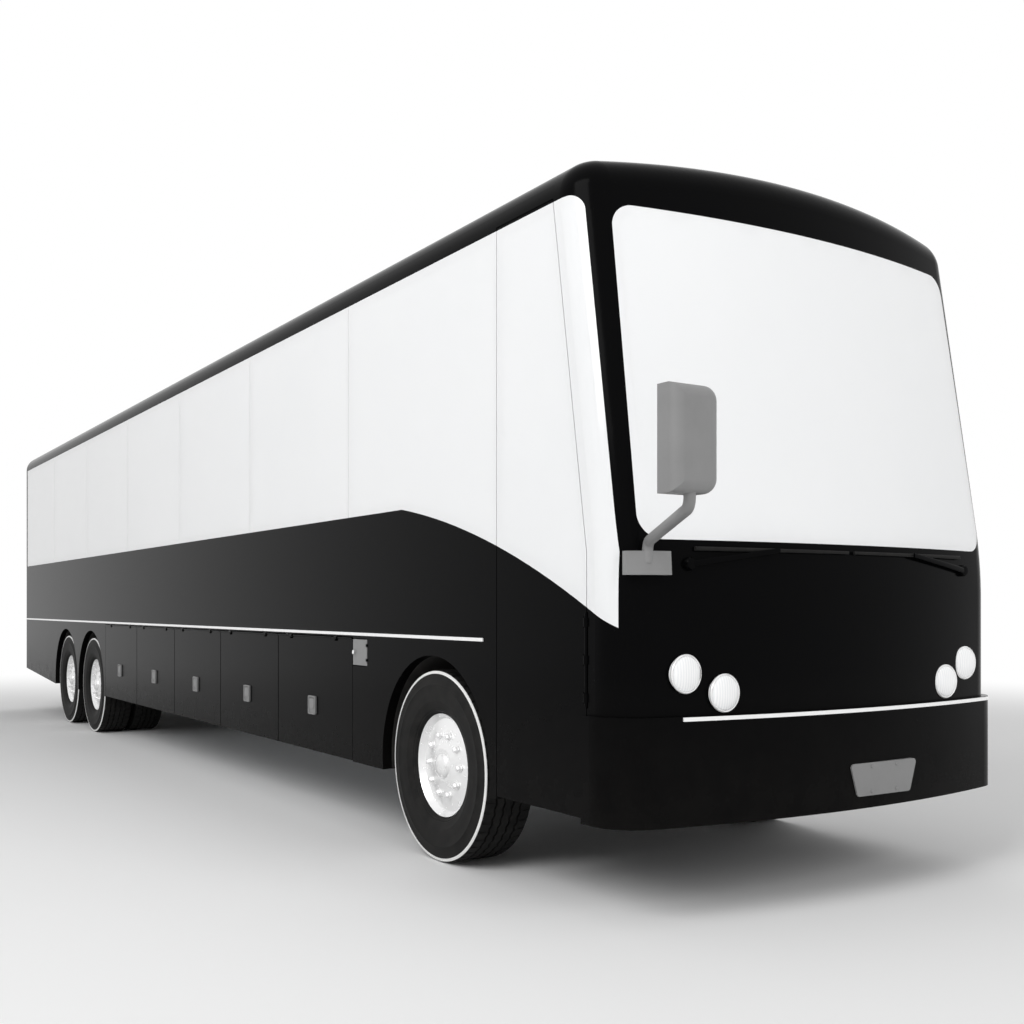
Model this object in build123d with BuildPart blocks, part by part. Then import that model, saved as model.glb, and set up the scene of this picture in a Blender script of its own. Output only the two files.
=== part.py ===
from build123d import *
import math
import os

os.makedirs("parts", exist_ok=True)

# Three-axle touring coach fitted out with lounge benches. +X is forward, +Y left, +Z up.
# The origin is on the ground, in the middle of the box around the coach and its mirrors.

# Overall size and the places of the axles
BODY_LENGTH = 13720
BODY_WIDTH = 2590
BODY_HEIGHT = 3560
FRONT_OVERHANG = 1820
REAR_OVERHANG = 2630
TANDEM = 1270
MIRROR_REACH = 520
MIRROR_OUT = 245
X_REAR = -(BODY_LENGTH + MIRROR_REACH) / 2
X_NOSE = X_REAR + BODY_LENGTH
X_FRONT_AXLE = X_NOSE - FRONT_OVERHANG
X_TAG_AXLE = X_REAR + REAR_OVERHANG
X_DRIVE_AXLE = X_TAG_AXLE + TANDEM
SIDE = BODY_WIDTH / 2

# Body form: crowned roof, bowed and raked nose, rounded edges
WALL = 60
ROOF_CROWN = 80
NOSE_BOW_R = 5500
CORNER_R = 200
ROOF_EDGE_R = 190
REAR_EDGE_R = 100
SKIRT_Z = 440
REAR_SKIRT_Z = 560
SCREEN_BREAK_Z = 1650
SCREEN_RAKE = 9.1
SCREEN_BLEND_R = 2500
RAKE_SLOPE = math.tan(math.radians(SCREEN_RAKE))
CUT_MARGIN = 300
TOP_Z = BODY_HEIGHT + CUT_MARGIN

# Lines where the panels meet, measured ahead of the front axle, ahead of the rear face and up
FRONT_JOINT = 1446
REAR_JOINT = 150
EAVE_DROP = 170
EAVE_Z = BODY_HEIGHT - EAVE_DROP
BUMPER_TOP_Z = 925
BUMPER_PROUD = 35

# Glazing, measured from the front axle where it has no other reference
GLASS_T = 10
GLASS_DROP = 90
GLASS_TOP = EAVE_Z - GLASS_DROP
GLASS_SILL = 1970
GLASS_REAR_GAP = 170
GLASS_CORNER_R = 90
GLASS_FLANGE = 45
PANE_GAP = 4
PANE_COUNT = 7
SWOOP_START = -360
SWOOP_MID = (672, 1718)
SWOOP_TIP = (1624, 1317)
SCREEN_BASE_Z = 1707
SCREEN_DROP = 310
SCREEN_TOP_Z = BODY_HEIGHT - SCREEN_DROP
SCREEN_BASE_INSET = 110
SCREEN_TOP_INSET = 140
SCREEN_BASE_HALF = SIDE - SCREEN_BASE_INSET
SCREEN_TOP_HALF = SIDE - SCREEN_TOP_INSET
SCREEN_CORNER_R = 110
REAR_WINDOW = (1500, 800)
REAR_WINDOW_DROP = 350
REAR_WINDOW_Z = GLASS_TOP - REAR_WINDOW_DROP - REAR_WINDOW[1] / 2

# Hinges: a rod on the leaf turns in lugs on the jamb
FIT = 0.3
DOOR_GAP = 6
LUG_GAP = 8
LUG_RISE = 12

# Entry door, measured ahead of the front axle
DOOR_REAR = 680
DOOR_LOW_Z = 455
DOOR_HEAD = 12
DOOR_TOP_Z = GLASS_TOP + DOOR_HEAD
DOOR_ROD_R = 8
DOOR_LUG_R = 14
DOOR_LUG_H = 40
DOOR_ROD_Z = (960, 1380)
DOOR_LUG_Z = (1000, 1170, 1340)

# Wheels and arches
TYRE_R = 530
TYRE_W = 315
TREAD_W = 280
RIM_R = 286
RIM_W = 230
WHEEL_Y = 1112.5
TWIN_PITCH = 350
ARCH_R = 610
LINER_T = 15
LINER_INNER_Y = 580

# Luggage bays between the front and drive axles
BAY_COUNT = 5
BAY_SETBACK = 1030
BAY_MARGIN = 70
BAY_FRONT = X_FRONT_AXLE - BAY_SETBACK
BAY_REAR = X_DRIVE_AXLE + ARCH_R + BAY_MARGIN
BAY_PITCH = (BAY_FRONT - BAY_REAR) / BAY_COUNT
BAY_DOOR_LOW = 446
HINGE_Z = 1210
BAY_ROD_R = 6
BAY_LUG_R = 12
BAY_LUG_W = 40
BAY_LUG_SHARE = 0.3
LATCH_SIZE = (120, 128)
LATCH_Z = 750
LATCH_DEPTH = 12
DECK_T = 40
BULKHEAD_T = 40
BAY_SIDE_GAP = 10

# Cabin floor, driver's platform and entry steps
FLOOR_TOP = 1330
FLOOR_T = 60
PLATFORM_TOP = 1020
PLATFORM_T = 50
PLATFORM_REAR = 645
STEP_RISE = 260
STEP_RUN = 270
STEP_COUNT = 2

# Fuel door on the right-hand side, measured behind the front axle
FUEL_SETBACK = 825
FUEL_SIZE = (200, 160)
FUEL_Z = 1127
FUEL_T = 20
FUEL_POCKET = 45
FUEL_ROD_R = 4
FUEL_LUG_R = 8
FUEL_LUG_H = 16
FUEL_LUG_DZ = (-45, 45)

# Lamps, plate and trim on the nose
HEADLAMPS = ((SIDE - 325, 1112), (SIDE - 525, 1022))
LAMP_R = 80
LAMP_DEPTH = 44
LAMP_PROUD = 16
LAMP_EDGE_R = 10
PLATE_Y = 190
PLATE_Z = 579
PLATE_TOP_W = 476
PLATE_H = 158
PLATE_SLOPE = 72.5
PLATE_CORNER_R = 18
PLATE_T = 8
PLATE_HOLES = (177.8, 120.65)
PLATE_HOLE_R = 3.5
PLATE_HOLE_DEPTH = 40
TRIM_Z = 1240
TRIM_H = 18
TRIM_T = 6
TRIM_FRONT = 550
TRIM_END_GAP = 10
STRIPE_Z = 914
STRIPE_Y = (289 - SIDE, SIDE - 95)

# Tail: engine door, louvres and lamp clusters
ENGINE_RECESS = 20
ENGINE_SIDE = 445
ENGINE_W = BODY_WIDTH - 2 * ENGINE_SIDE
ENGINE_LOW_Z = 640
ENGINE_HINGE_Z = 1480
ENGINE_LUG_Y = (-550, 550)
LOUVRE_GAP = 60
LOUVRE_MARGIN = 160
LOUVRE_W = (ENGINE_W - LOUVRE_GAP) / 2 - LOUVRE_MARGIN
LOUVRE_H = 24
LOUVRE_PITCH = 60
LOUVRE_COUNT = 7
LOUVRE_HOOD = 16
LOUVRE_SHEET = 4
LOUVRE_Z = 1180
TAIL_LAMP = (130, 420)
TAIL_LAMP_Y = SIDE - 210
TAIL_LAMP_Z = 1110
TAIL_LAMP_DEPTH = 45
TAIL_LAMP_SET = 2

# Running gear
AXLE_SLOT_W = 300
AXLE_SLOT_Z = 700
RAIL_Y = 410
RAIL_W = 90
RAIL_LOW_Z = 980
FRONT_RAIL = (700, 600)
REAR_RAIL_GAP = 250
ENGINE_SETBACK = 360
ENGINE_LENGTH = 1400
ENGINE_HEIGHT = 600
ENGINE_BOTTOM_Z = 600
ENGINE_CHAMFER = 60
KINGPIN_SET = 85
KINGPIN_R = 30
KINGPIN_H = 240
EYE_R = 48
EYE_H = 140
BEAM_W = 110
BEAM_H = 110
BEAM_DROP = 110
BEAM_DROP_Y = 600
BEAM_RISE_Y = 800
SEAT_W = 200
BELLOWS_LOW_Z = 640
BELLOWS_R = 120
BELLOWS_END_R = 100
AXLE_SEAT_Z = 440
AXLE_TUBE_R = 75
FINAL_DRIVE_R = 190
FINAL_DRIVE_W = 240
SPINDLE_R = 60
SPINDLE_REACH = 75
SHOULDER_GAP = 5
KNUCKLE_FACE = 10
KNUCKLE_T = 20
KNUCKLE_R = 95
EAR_R = 45
EAR_T = 40
EAR_GAP = 1
HUB_CAP_R = 90
HUB_CAP_Y = 112
DISH_R = 258
DISH_Y = 82
RIM_INNER_R = 262
HUB_R = 110
HUB_INNER_Y = -5
POCKET_Y = 30

# Cabin fittings, measured ahead of the front axle where they have no other reference
RISER_T = 15
DASH_REAR = 1250
DASH_BROW = 1400
DASH_EDGE_Z = 1480
DASH_TOP_Z = 1600
DASH_RIGHT_Y = 500
DRIVER_INSET = 595
DRIVER_Y = SIDE - DRIVER_INSET
COLUMN_TILT = 30
COLUMN_R = 40
COLUMN_SINK = 120
COLUMN_LENGTH = 220
STEER_R = 230
STEER_GRIP = 34
STEER_SPOKES = 4
STEER_SPOKE = (45, 16)
STEER_BOSS_R = 65
SEAT_REAR = 680
DRIVER_SEAT_W = 500
SEAT_DEPTH = 480
SEAT_BACK_T = 110
SEAT_LEAN = 25
SEAT_PAN_Z = 1340
SEAT_PAD_T = 120
SEAT_BACK_Z = 2160
BENCH_GAP = 5
BENCH_FRONT_GAP = 60
BENCH_SEAT_H = 430
BENCH_BACK_H = 850
BENCH_DEPTH = 560
BENCH_BACK_T = 130
BENCH_PAD_T = 120
BENCH_PANEL_T = 60

# Roof hatches
HATCH_SETBACK = 2580
HATCH_X = (X_TAG_AXLE, X_FRONT_AXLE - HATCH_SETBACK)
HATCH_SIZE = (800, 700)
HATCH_CORNER_R = 80
HATCH_H = 40

# Mirrors
MIRROR_HEAD = (110, 230, 417)
MIRROR_Z = 2049
MIRROR_CORNER_R = 60
MIRROR_SHELL_R = 50
MIRROR_GLASS = ((208, 274, 56), (208, 104, -140))
MIRROR_GLASS_R = 30
MIRROR_GLASS_SET = 5
MIRROR_LEFT_X = 1120
FOOT_PROUD = 50
FOOT_Z = 1600
FOOT_FRONT = (340, 192, 104)
FOOT_FRONT_X = 1830
FOOT_FRONT_Y = SIDE - 129
FOOT_SIDE = (200, 200, 100)
FOOT_SIDE_X = 1250
FOOT_SIDE_Z = 1340
ARM_ROOT_Y = SIDE - 125
ARM_R = 24
ARM_RISE = 90
ARM_DROP = 50
ARM_BEND_R = 50

SIDES = (("right", -1), ("left", 1))


def envelope(inset, z_low):
    """Outer form of the body moved inwards by inset and cut off level at z_low."""
    half = SIDE - inset
    bow_x = X_NOSE - NOSE_BOW_R
    eave = BODY_HEIGHT - inset - ROOF_CROWN
    with BuildPart() as form:
        with BuildSketch(Plane.YZ.offset(X_REAR + inset)):
            with BuildLine():
                Polyline((-half, eave), (-half, z_low), (half, z_low), (half, eave))
                ThreePointArc((half, eave), (0, BODY_HEIGHT - inset), (-half, eave))
            make_face()
        extrude(amount=BODY_LENGTH + CUT_MARGIN)
        with BuildSketch(Plane(origin=(bow_x, 0, 0), x_dir=(0, -1, 0), z_dir=(-1, 0, 0))):
            with BuildLine():
                low_r = NOSE_BOW_R - inset
                top_r = low_r - (TOP_Z - SCREEN_BREAK_Z) * RAKE_SLOPE
                outer_r = NOSE_BOW_R + 3 * CUT_MARGIN
                low = z_low - CUT_MARGIN
                FilletPolyline((low_r, low), (low_r, SCREEN_BREAK_Z), (top_r, TOP_Z), radius=SCREEN_BLEND_R)
                Polyline((top_r, TOP_Z), (outer_r, TOP_Z), (outer_r, low), (low_r, low))
            make_face()
        revolve(axis=Axis((bow_x, 0, 0), (0, 0, 1)), revolution_arc=180, mode=Mode.SUBTRACT)
        nose_x = X_NOSE - BODY_WIDTH
        corners = form.edges().filter_by(
            lambda e: abs(abs(e.center().Y) - half) < 1
            and e.bounding_box().min.X > nose_x
            and e.bounding_box().size.Z > 10
        )
        fillet(corners, CORNER_R - inset)
        roof_edges = form.faces().sort_by(Axis.Z)[-1].edges().sort_by(Axis.X)[1:]
        fillet(roof_edges, ROOF_EDGE_R - inset)
        rear_edges = form.faces().sort_by(Axis.X)[0].edges().filter_by(lambda e: e.center().Z > z_low + 1)
        fillet(rear_edges, REAR_EDGE_R - inset)
    return form.part


def slab(points):
    """Block across the whole width with the given outline in the XZ plane."""
    with BuildPart() as block:
        with BuildSketch(Plane.XZ):
            with BuildLine():
                Polyline(*points, close=True)
            make_face()
        extrude(amount=SIDE + CUT_MARGIN, both=True)
    return block.part


def raked_line(dx, low=SKIRT_Z - CUT_MARGIN):
    """Upright line dx ahead of the front axle that leans back with the windscreen above the break."""
    x = X_FRONT_AXLE + dx
    return (x, low), (x, SCREEN_BREAK_Z), (x - (TOP_Z - SCREEN_BREAK_Z) * RAKE_SLOPE, TOP_Z)


def glass_band():
    """Outline of the whole side glass: level sill, falling swoop, raked front edge."""
    x0 = X_FRONT_AXLE
    rear = X_REAR + GLASS_REAR_GAP
    tip = (x0 + SWOOP_TIP[0], SWOOP_TIP[1])
    front_low = (tip[0], SCREEN_BREAK_Z)
    front_top = (tip[0] - (GLASS_TOP - SCREEN_BREAK_Z) * RAKE_SLOPE, GLASS_TOP)
    with BuildSketch(Plane.XZ) as band:
        with BuildLine():
            Polyline((rear, GLASS_TOP), (rear, GLASS_SILL), (x0 + SWOOP_START, GLASS_SILL))
            ThreePointArc(
                (x0 + SWOOP_START, GLASS_SILL), (x0 + SWOOP_MID[0], SWOOP_MID[1]), tip
            )
            Polyline(tip, front_low, front_top, (rear, GLASS_TOP))
        make_face()
        top_front = band.vertices().group_by(Axis.Y)[-1].sort_by(Axis.X)[-1]
        fillet(top_front, GLASS_CORNER_R)
    return band.sketch_local


def pane_outlines():
    """Outlines of the side panes: equal ones behind the door, one in it, one on the corner."""
    rear = X_REAR + GLASS_REAR_GAP
    door_rear = X_FRONT_AXLE + DOOR_REAR
    pitch = (door_rear - DOOR_GAP + PANE_GAP - rear) / PANE_COUNT
    spans = []
    for i in range(PANE_COUNT):
        x0 = rear + i * pitch
        x1 = x0 + pitch - PANE_GAP
        spans.append(((x0, SKIRT_Z), (x0, TOP_Z), (x1, TOP_Z), (x1, SKIRT_Z)))
    low, bend, top = raked_line(FRONT_JOINT - DOOR_GAP)
    spans.append(((door_rear, low[1]), (door_rear, top[1]), top, bend, low))
    low, bend, top = raked_line(FRONT_JOINT)
    ahead = X_NOSE + CUT_MARGIN
    spans.append((low, bend, top, (ahead, top[1]), (ahead, low[1])))
    outlines = []
    for points in spans:
        with BuildSketch(Plane.XZ) as pane:
            add(glass_band())
            with BuildLine():
                Polyline(*points, close=True)
            make_face(mode=Mode.INTERSECT)
        outlines.append(pane.sketch_local)
    return outlines


def screen_outline(inset):
    """Outline of the windscreen in the YZ plane, drawn in by inset."""
    with BuildSketch(Plane.YZ) as screen:
        with BuildLine():
            Polyline(
                (-SCREEN_BASE_HALF, SCREEN_BASE_Z),
                (SCREEN_BASE_HALF, SCREEN_BASE_Z),
                (SCREEN_TOP_HALF, SCREEN_TOP_Z),
                (-SCREEN_TOP_HALF, SCREEN_TOP_Z),
                close=True,
            )
        make_face()
        fillet(screen.vertices(), SCREEN_CORNER_R)
        if inset:
            offset(amount=-inset)
    return screen.sketch_local


# Whole skin, and the thin layer at its outside where the glass lies
with BuildPart() as skin:
    add(envelope(0, SKIRT_Z))
    add(envelope(WALL, SKIRT_Z - CUT_MARGIN), mode=Mode.SUBTRACT)
    add(
        slab(
            (
                (X_TAG_AXLE - ARCH_R, SKIRT_Z),
                (X_REAR, REAR_SKIRT_Z),
                (X_REAR - CUT_MARGIN, REAR_SKIRT_Z),
                (X_REAR - CUT_MARGIN, SKIRT_Z - CUT_MARGIN),
                (X_TAG_AXLE - ARCH_R, SKIRT_Z - CUT_MARGIN),
            )
        ),
        mode=Mode.SUBTRACT,
    )
with BuildPart() as glass_layer:
    add(envelope(0, SKIRT_Z))
    add(envelope(GLASS_T, SKIRT_Z - CUT_MARGIN), mode=Mode.SUBTRACT)

# Blocks that split the skin into nose, tail, roof and sides
joint = raked_line(FRONT_JOINT)
nose_block = slab((*joint, (X_NOSE + CUT_MARGIN, TOP_Z), (X_NOSE + CUT_MARGIN, joint[0][1])))
tail_block = slab(
    (
        (X_REAR - CUT_MARGIN, SKIRT_Z - CUT_MARGIN),
        (X_REAR + REAR_JOINT, SKIRT_Z - CUT_MARGIN),
        (X_REAR + REAR_JOINT, TOP_Z),
        (X_REAR - CUT_MARGIN, TOP_Z),
    )
)
roof_block = slab(
    (
        (X_REAR, EAVE_Z),
        (X_NOSE, EAVE_Z),
        (X_NOSE, TOP_Z),
        (X_REAR, TOP_Z),
    )
)
PANES = pane_outlines()

# Windscreen: one bowed sheet bonded into a rebate in the nose
with BuildPart() as windscreen:
    with BuildSketch(Plane.YZ.offset(X_FRONT_AXLE)):
        add(screen_outline(0))
    extrude(amount=FRONT_OVERHANG + CUT_MARGIN)
    add(glass_layer.part, mode=Mode.INTERSECT)
windscreen.part.label = "windscreen"
export_step(windscreen.part, "parts/windscreen.step")

# Side glass of the right-hand side: the whole band, and the panes that it is cut into
with BuildPart() as side_glass:
    with BuildSketch(Plane.XZ):
        add(glass_band())
    extrude(amount=SIDE + CUT_MARGIN)
    add(glass_layer.part, mode=Mode.INTERSECT)
panes = []
for outline in PANES:
    with BuildPart() as pane:
        add(side_glass.part)
        with BuildSketch(Plane.XZ):
            add(outline)
        extrude(amount=SIDE + CUT_MARGIN, mode=Mode.INTERSECT)
    panes.append(pane.part)

# Openings through the wall behind each pane
with BuildPart() as pane_openings:
    for outline in PANES:
        with BuildSketch(Plane.XZ.offset(SIDE - CUT_MARGIN)):
            add(outline)
            offset(amount=-GLASS_FLANGE)
        extrude(amount=2 * CUT_MARGIN)

# Rear window: a flat sheet in the tail
with BuildPart() as rear_window:
    with BuildSketch(Plane.YZ.offset(X_REAR)):
        with Locations((0, REAR_WINDOW_Z)):
            RectangleRounded(*REAR_WINDOW, SCREEN_CORNER_R)
    extrude(amount=GLASS_T)

# Glass of the cabin: both sides apart from the entry door, and the rear
with BuildPart() as cabin_glass:
    for number, sheet in enumerate(panes):
        if number != PANE_COUNT:
            add(sheet)
        mirror(sheet, about=Plane.XZ)
    add(rear_window.part)
cabin_glass.part.label = "cabin_glass"
export_step(cabin_glass.part, "parts/cabin_glass.step")

with BuildPart() as entry_door_glass:
    add(panes[PANE_COUNT])
entry_door_glass.part.label = "entry_door_glass"
export_step(entry_door_glass.part, "parts/entry_door_glass.step")

# Roof panel between nose and tail, with the crown of the body
with BuildPart() as roof_panel:
    add(skin.part)
    add(roof_block, mode=Mode.INTERSECT)
    add(nose_block, mode=Mode.SUBTRACT)
    add(tail_block, mode=Mode.SUBTRACT)
roof_panel.part.label = "roof_panel"
export_step(roof_panel.part, "parts/roof_panel.step")

# Right-hand wall before its doors are taken out: glass rebate, window openings and wheel arches
with BuildPart() as wall_blank:
    add(skin.part)
    for block in (nose_block, tail_block, roof_block, side_glass.part, pane_openings.part):
        add(block, mode=Mode.SUBTRACT)
    with BuildSketch(Plane.XZ):
        with Locations(*((x, TYRE_R) for x in (X_FRONT_AXLE, X_DRIVE_AXLE, X_TAG_AXLE))):
            Circle(ARCH_R)
    extrude(amount=SIDE + CUT_MARGIN, mode=Mode.SUBTRACT)
    split(bisect_by=Plane.XZ, keep=Keep.TOP)

# Lugs of the luggage door hinges, two to a bay, with the web that ties them to the wall
bay_centres = [BAY_REAR + (i + 0.5) * BAY_PITCH for i in range(BAY_COUNT)]
lug_offsets = (-BAY_LUG_SHARE * BAY_PITCH, BAY_LUG_SHARE * BAY_PITCH)
with BuildPart() as bay_lugs:
    for x in bay_centres:
        for dx in lug_offsets:
            with BuildSketch(Plane.YZ.offset(x + dx - BAY_LUG_W / 2)):
                with Locations((-SIDE, HINGE_Z)):
                    Circle(BAY_LUG_R)
                    Rectangle(WALL / 2, 2 * LUG_RISE, align=(Align.MIN, Align.MIN))
                    Circle(BAY_ROD_R + FIT, mode=Mode.SUBTRACT)
            extrude(amount=BAY_LUG_W)

# Wall with the row of luggage openings and their lugs, as on the left-hand side
with BuildPart() as wall_with_bays:
    add(wall_blank.part)
    with BuildSketch(Plane.XZ):
        with Locations((BAY_REAR, HINGE_Z + LUG_RISE)):
            Rectangle(BAY_FRONT - BAY_REAR, HINGE_Z, align=(Align.MIN, Align.MAX))
    extrude(amount=SIDE + CUT_MARGIN, mode=Mode.SUBTRACT)
    add(bay_lugs.part)
with BuildPart() as side_wall_left:
    mirror(wall_with_bays.part, about=Plane.XZ)
side_wall_left.part.label = "side_wall_left"
export_step(side_wall_left.part, "parts/side_wall_left.step")

# Right-hand wall: the doorway and the pocket behind the fuel door come out of it
low, bend, top = raked_line(FRONT_JOINT + DOOR_GAP)
doorway_rear = X_FRONT_AXLE + DOOR_REAR - DOOR_GAP
with BuildPart() as doorway:
    add(slab(((doorway_rear, low[1]), low, bend, top, (doorway_rear, top[1]))))
    split(bisect_by=Plane.XY.offset(DOOR_TOP_Z + DOOR_GAP), keep=Keep.BOTTOM)
fuel_hinge = (X_FRONT_AXLE - FUEL_SETBACK, -SIDE)
with BuildPart() as side_wall_right:
    add(wall_with_bays.part)
    add(doorway.part, mode=Mode.SUBTRACT)
    with BuildSketch(Plane.XZ.offset(SIDE - FUEL_POCKET)):
        with Locations((fuel_hinge[0] + DOOR_GAP, FUEL_Z)):
            Rectangle(
                FUEL_SIZE[0] + 2 * DOOR_GAP, FUEL_SIZE[1] + 2 * DOOR_GAP, align=(Align.MAX, Align.CENTER)
            )
    extrude(amount=FUEL_POCKET, mode=Mode.SUBTRACT)
    for dz in FUEL_LUG_DZ:
        with BuildSketch(Plane.XY.offset(FUEL_Z + dz - FUEL_LUG_H / 2)):
            with Locations(fuel_hinge):
                Circle(FUEL_LUG_R)
                Rectangle(2 * DOOR_GAP, FUEL_T, align=(Align.MIN, Align.MIN))
                Circle(FUEL_ROD_R + FIT, mode=Mode.SUBTRACT)
        extrude(amount=FUEL_LUG_H)
side_wall_right.part.label = "side_wall_right"
export_step(side_wall_right.part, "parts/side_wall_right.step")

# Fuel door: a small flap on an upright rod at its front edge
with BuildPart() as fuel_door:
    with BuildSketch(Plane.XZ.offset(SIDE - FUEL_T)):
        with Locations((fuel_hinge[0], FUEL_Z)):
            Rectangle(*FUEL_SIZE, align=(Align.MAX, Align.CENTER))
        with Locations(*((fuel_hinge[0], FUEL_Z + dz) for dz in FUEL_LUG_DZ)):
            Rectangle(
                2 * (FUEL_LUG_R + LUG_GAP), FUEL_LUG_H + 2 * DOOR_GAP, mode=Mode.SUBTRACT
            )
    extrude(amount=FUEL_T)
    with BuildSketch(Plane.XY.offset(FUEL_Z - FUEL_SIZE[1] / 2)):
        with Locations(fuel_hinge):
            Circle(FUEL_ROD_R)
    extrude(amount=FUEL_SIZE[1])
fuel_door.part.label = "fuel_door"
export_step(fuel_door.part, "parts/fuel_door.step")

# Entry door: the leaf cut from the wall, with a hinge rod at the front edge and notches for the lugs
door_hinge = (X_FRONT_AXLE + FRONT_JOINT - DOOR_GAP, -SIDE)
low, bend, top = raked_line(FRONT_JOINT - DOOR_GAP)
with BuildPart() as entry_door:
    add(slab(((X_FRONT_AXLE + DOOR_REAR, low[1]), low, bend, top, (X_FRONT_AXLE + DOOR_REAR, top[1]))))
    split(bisect_by=Plane.XY.offset(DOOR_TOP_Z), keep=Keep.BOTTOM)
    split(bisect_by=Plane.XY.offset(DOOR_LOW_Z), keep=Keep.TOP)
    add(wall_blank.part, mode=Mode.INTERSECT)
    with BuildSketch(Plane.XZ):
        with Locations(*((door_hinge[0], z) for z in DOOR_LUG_Z)):
            Rectangle(2 * (DOOR_LUG_R + LUG_GAP), DOOR_LUG_H + 2 * DOOR_GAP)
    extrude(amount=SIDE + CUT_MARGIN, mode=Mode.SUBTRACT)
    with BuildSketch(Plane.XY.offset(DOOR_ROD_Z[0])):
        with Locations(door_hinge):
            Circle(DOOR_ROD_R)
    extrude(amount=DOOR_ROD_Z[1] - DOOR_ROD_Z[0])
entry_door.part.label = "entry_door"
export_step(entry_door.part, "parts/entry_door.step")

# Luggage doors: one leaf at the middle of the length, then copied to each bay on both sides
bay_width = BAY_PITCH - 2 * DOOR_GAP
with BuildPart() as bay_leaf:
    with BuildSketch(Plane.XZ.offset(SIDE - WALL)):
        with Locations((0, HINGE_Z)):
            Rectangle(bay_width, HINGE_Z - BAY_DOOR_LOW, align=(Align.CENTER, Align.MAX))
        with Locations(*((dx, HINGE_Z) for dx in lug_offsets)):
            Rectangle(
                BAY_LUG_W + 2 * DOOR_GAP, 2 * (BAY_LUG_R + LUG_GAP), mode=Mode.SUBTRACT
            )
    extrude(amount=WALL)
    with BuildSketch(Plane.YZ.offset(-bay_width / 2)):
        with Locations((-SIDE, HINGE_Z)):
            Circle(BAY_ROD_R)
    extrude(amount=bay_width)
    with BuildSketch(Plane.XZ.offset(SIDE - LATCH_DEPTH)):
        with Locations((0, LATCH_Z)):
            Rectangle(*LATCH_SIZE)
    extrude(amount=LATCH_DEPTH, mode=Mode.SUBTRACT)
for number, x in enumerate(reversed(bay_centres), start=1):
    with BuildPart() as luggage_door_right:
        with Locations((x, 0, 0)):
            add(bay_leaf.part)
    luggage_door_right.part.label = f"luggage_door_right_{number}"
    export_step(luggage_door_right.part, f"parts/luggage_door_right_{number}.step")
    with BuildPart() as luggage_door_left:
        mirror(luggage_door_right.part, about=Plane.XZ)
    luggage_door_left.part.label = f"luggage_door_left_{number}"
    export_step(luggage_door_left.part, f"parts/luggage_door_left_{number}.step")


def nose_x(y):
    """Front of the nose below the windscreen at a place across the width."""
    return X_NOSE - NOSE_BOW_R + math.sqrt(NOSE_BOW_R**2 - y**2)


# Nose: the skin ahead of the front joint and above the bumper, with its glass rebates and lamp bores
with BuildPart() as front_cap:
    add(skin.part)
    add(nose_block, mode=Mode.INTERSECT)
    split(bisect_by=Plane.XY.offset(BUMPER_TOP_Z), keep=Keep.TOP)
    add(windscreen.part, mode=Mode.SUBTRACT)
    for cut in (side_glass.part, pane_openings.part):
        add(cut, mode=Mode.SUBTRACT)
        mirror(cut, about=Plane.XZ, mode=Mode.SUBTRACT)
    with BuildSketch(Plane.YZ.offset(X_FRONT_AXLE)):
        add(screen_outline(GLASS_FLANGE))
    extrude(amount=FRONT_OVERHANG + CUT_MARGIN, mode=Mode.SUBTRACT)
    with BuildSketch(Plane.YZ.offset(X_FRONT_AXLE + FRONT_JOINT)):
        with Locations(*((sign * y, z) for y, z in HEADLAMPS for _, sign in SIDES)):
            Circle(LAMP_R + FIT)
    extrude(amount=FRONT_OVERHANG, mode=Mode.SUBTRACT)
    with BuildSketch(Plane.XY.offset(DOOR_ROD_Z[0] - DOOR_GAP)):
        with Locations(door_hinge):
            Circle(DOOR_ROD_R + DOOR_GAP)
    extrude(amount=DOOR_ROD_Z[1] - DOOR_ROD_Z[0] + 2 * DOOR_GAP, mode=Mode.SUBTRACT)
    for z in DOOR_LUG_Z:
        with BuildSketch(Plane.XY.offset(z - DOOR_LUG_H / 2)):
            with Locations(door_hinge):
                Circle(DOOR_LUG_R)
                Rectangle(3 * DOOR_GAP, WALL / 2, align=(Align.MIN, Align.MIN))
                Circle(DOOR_ROD_R + FIT, mode=Mode.SUBTRACT)
        extrude(amount=DOOR_LUG_H)
front_cap.part.label = "front_cap"
export_step(front_cap.part, "parts/front_cap.step")

# Headlamps: round pods that stand square to the road in the bowed nose
with BuildPart() as headlamps:
    for y, z in HEADLAMPS:
        for _, sign in SIDES:
            with BuildSketch(Plane.YZ.offset(nose_x(y) - LAMP_DEPTH)):
                with Locations((sign * y, z)):
                    Circle(LAMP_R)
            extrude(amount=LAMP_DEPTH + LAMP_PROUD)
    fillet(headlamps.faces().filter_by(lambda f: f.normal_at().X > 0.9).edges(), LAMP_EDGE_R)
headlamps.part.label = "headlamps"
export_step(headlamps.part, "parts/headlamps.step")

# Bumper: a thicker skin that stands proud of the nose, with the four holes of the number plate
plate_holes = [
    (PLATE_Y + sy * PLATE_HOLES[0] / 2, PLATE_Z + sz * PLATE_HOLES[1] / 2)
    for sy in (-1, 1)
    for sz in (-1, 1)
]
bumper_form = envelope(-BUMPER_PROUD, SKIRT_Z)
with BuildPart() as front_bumper:
    add(bumper_form)
    add(envelope(WALL, SKIRT_Z - CUT_MARGIN), mode=Mode.SUBTRACT)
    add(nose_block, mode=Mode.INTERSECT)
    split(bisect_by=Plane.XY.offset(BUMPER_TOP_Z), keep=Keep.BOTTOM)
    with BuildSketch(Plane.YZ.offset(nose_x(PLATE_Y) - PLATE_HOLE_DEPTH)):
        with Locations(*plate_holes):
            Circle(PLATE_HOLE_R)
    extrude(amount=PLATE_HOLE_DEPTH + CUT_MARGIN, mode=Mode.SUBTRACT)
front_bumper.part.label = "front_bumper"
export_step(front_bumper.part, "parts/front_bumper.step")

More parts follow.
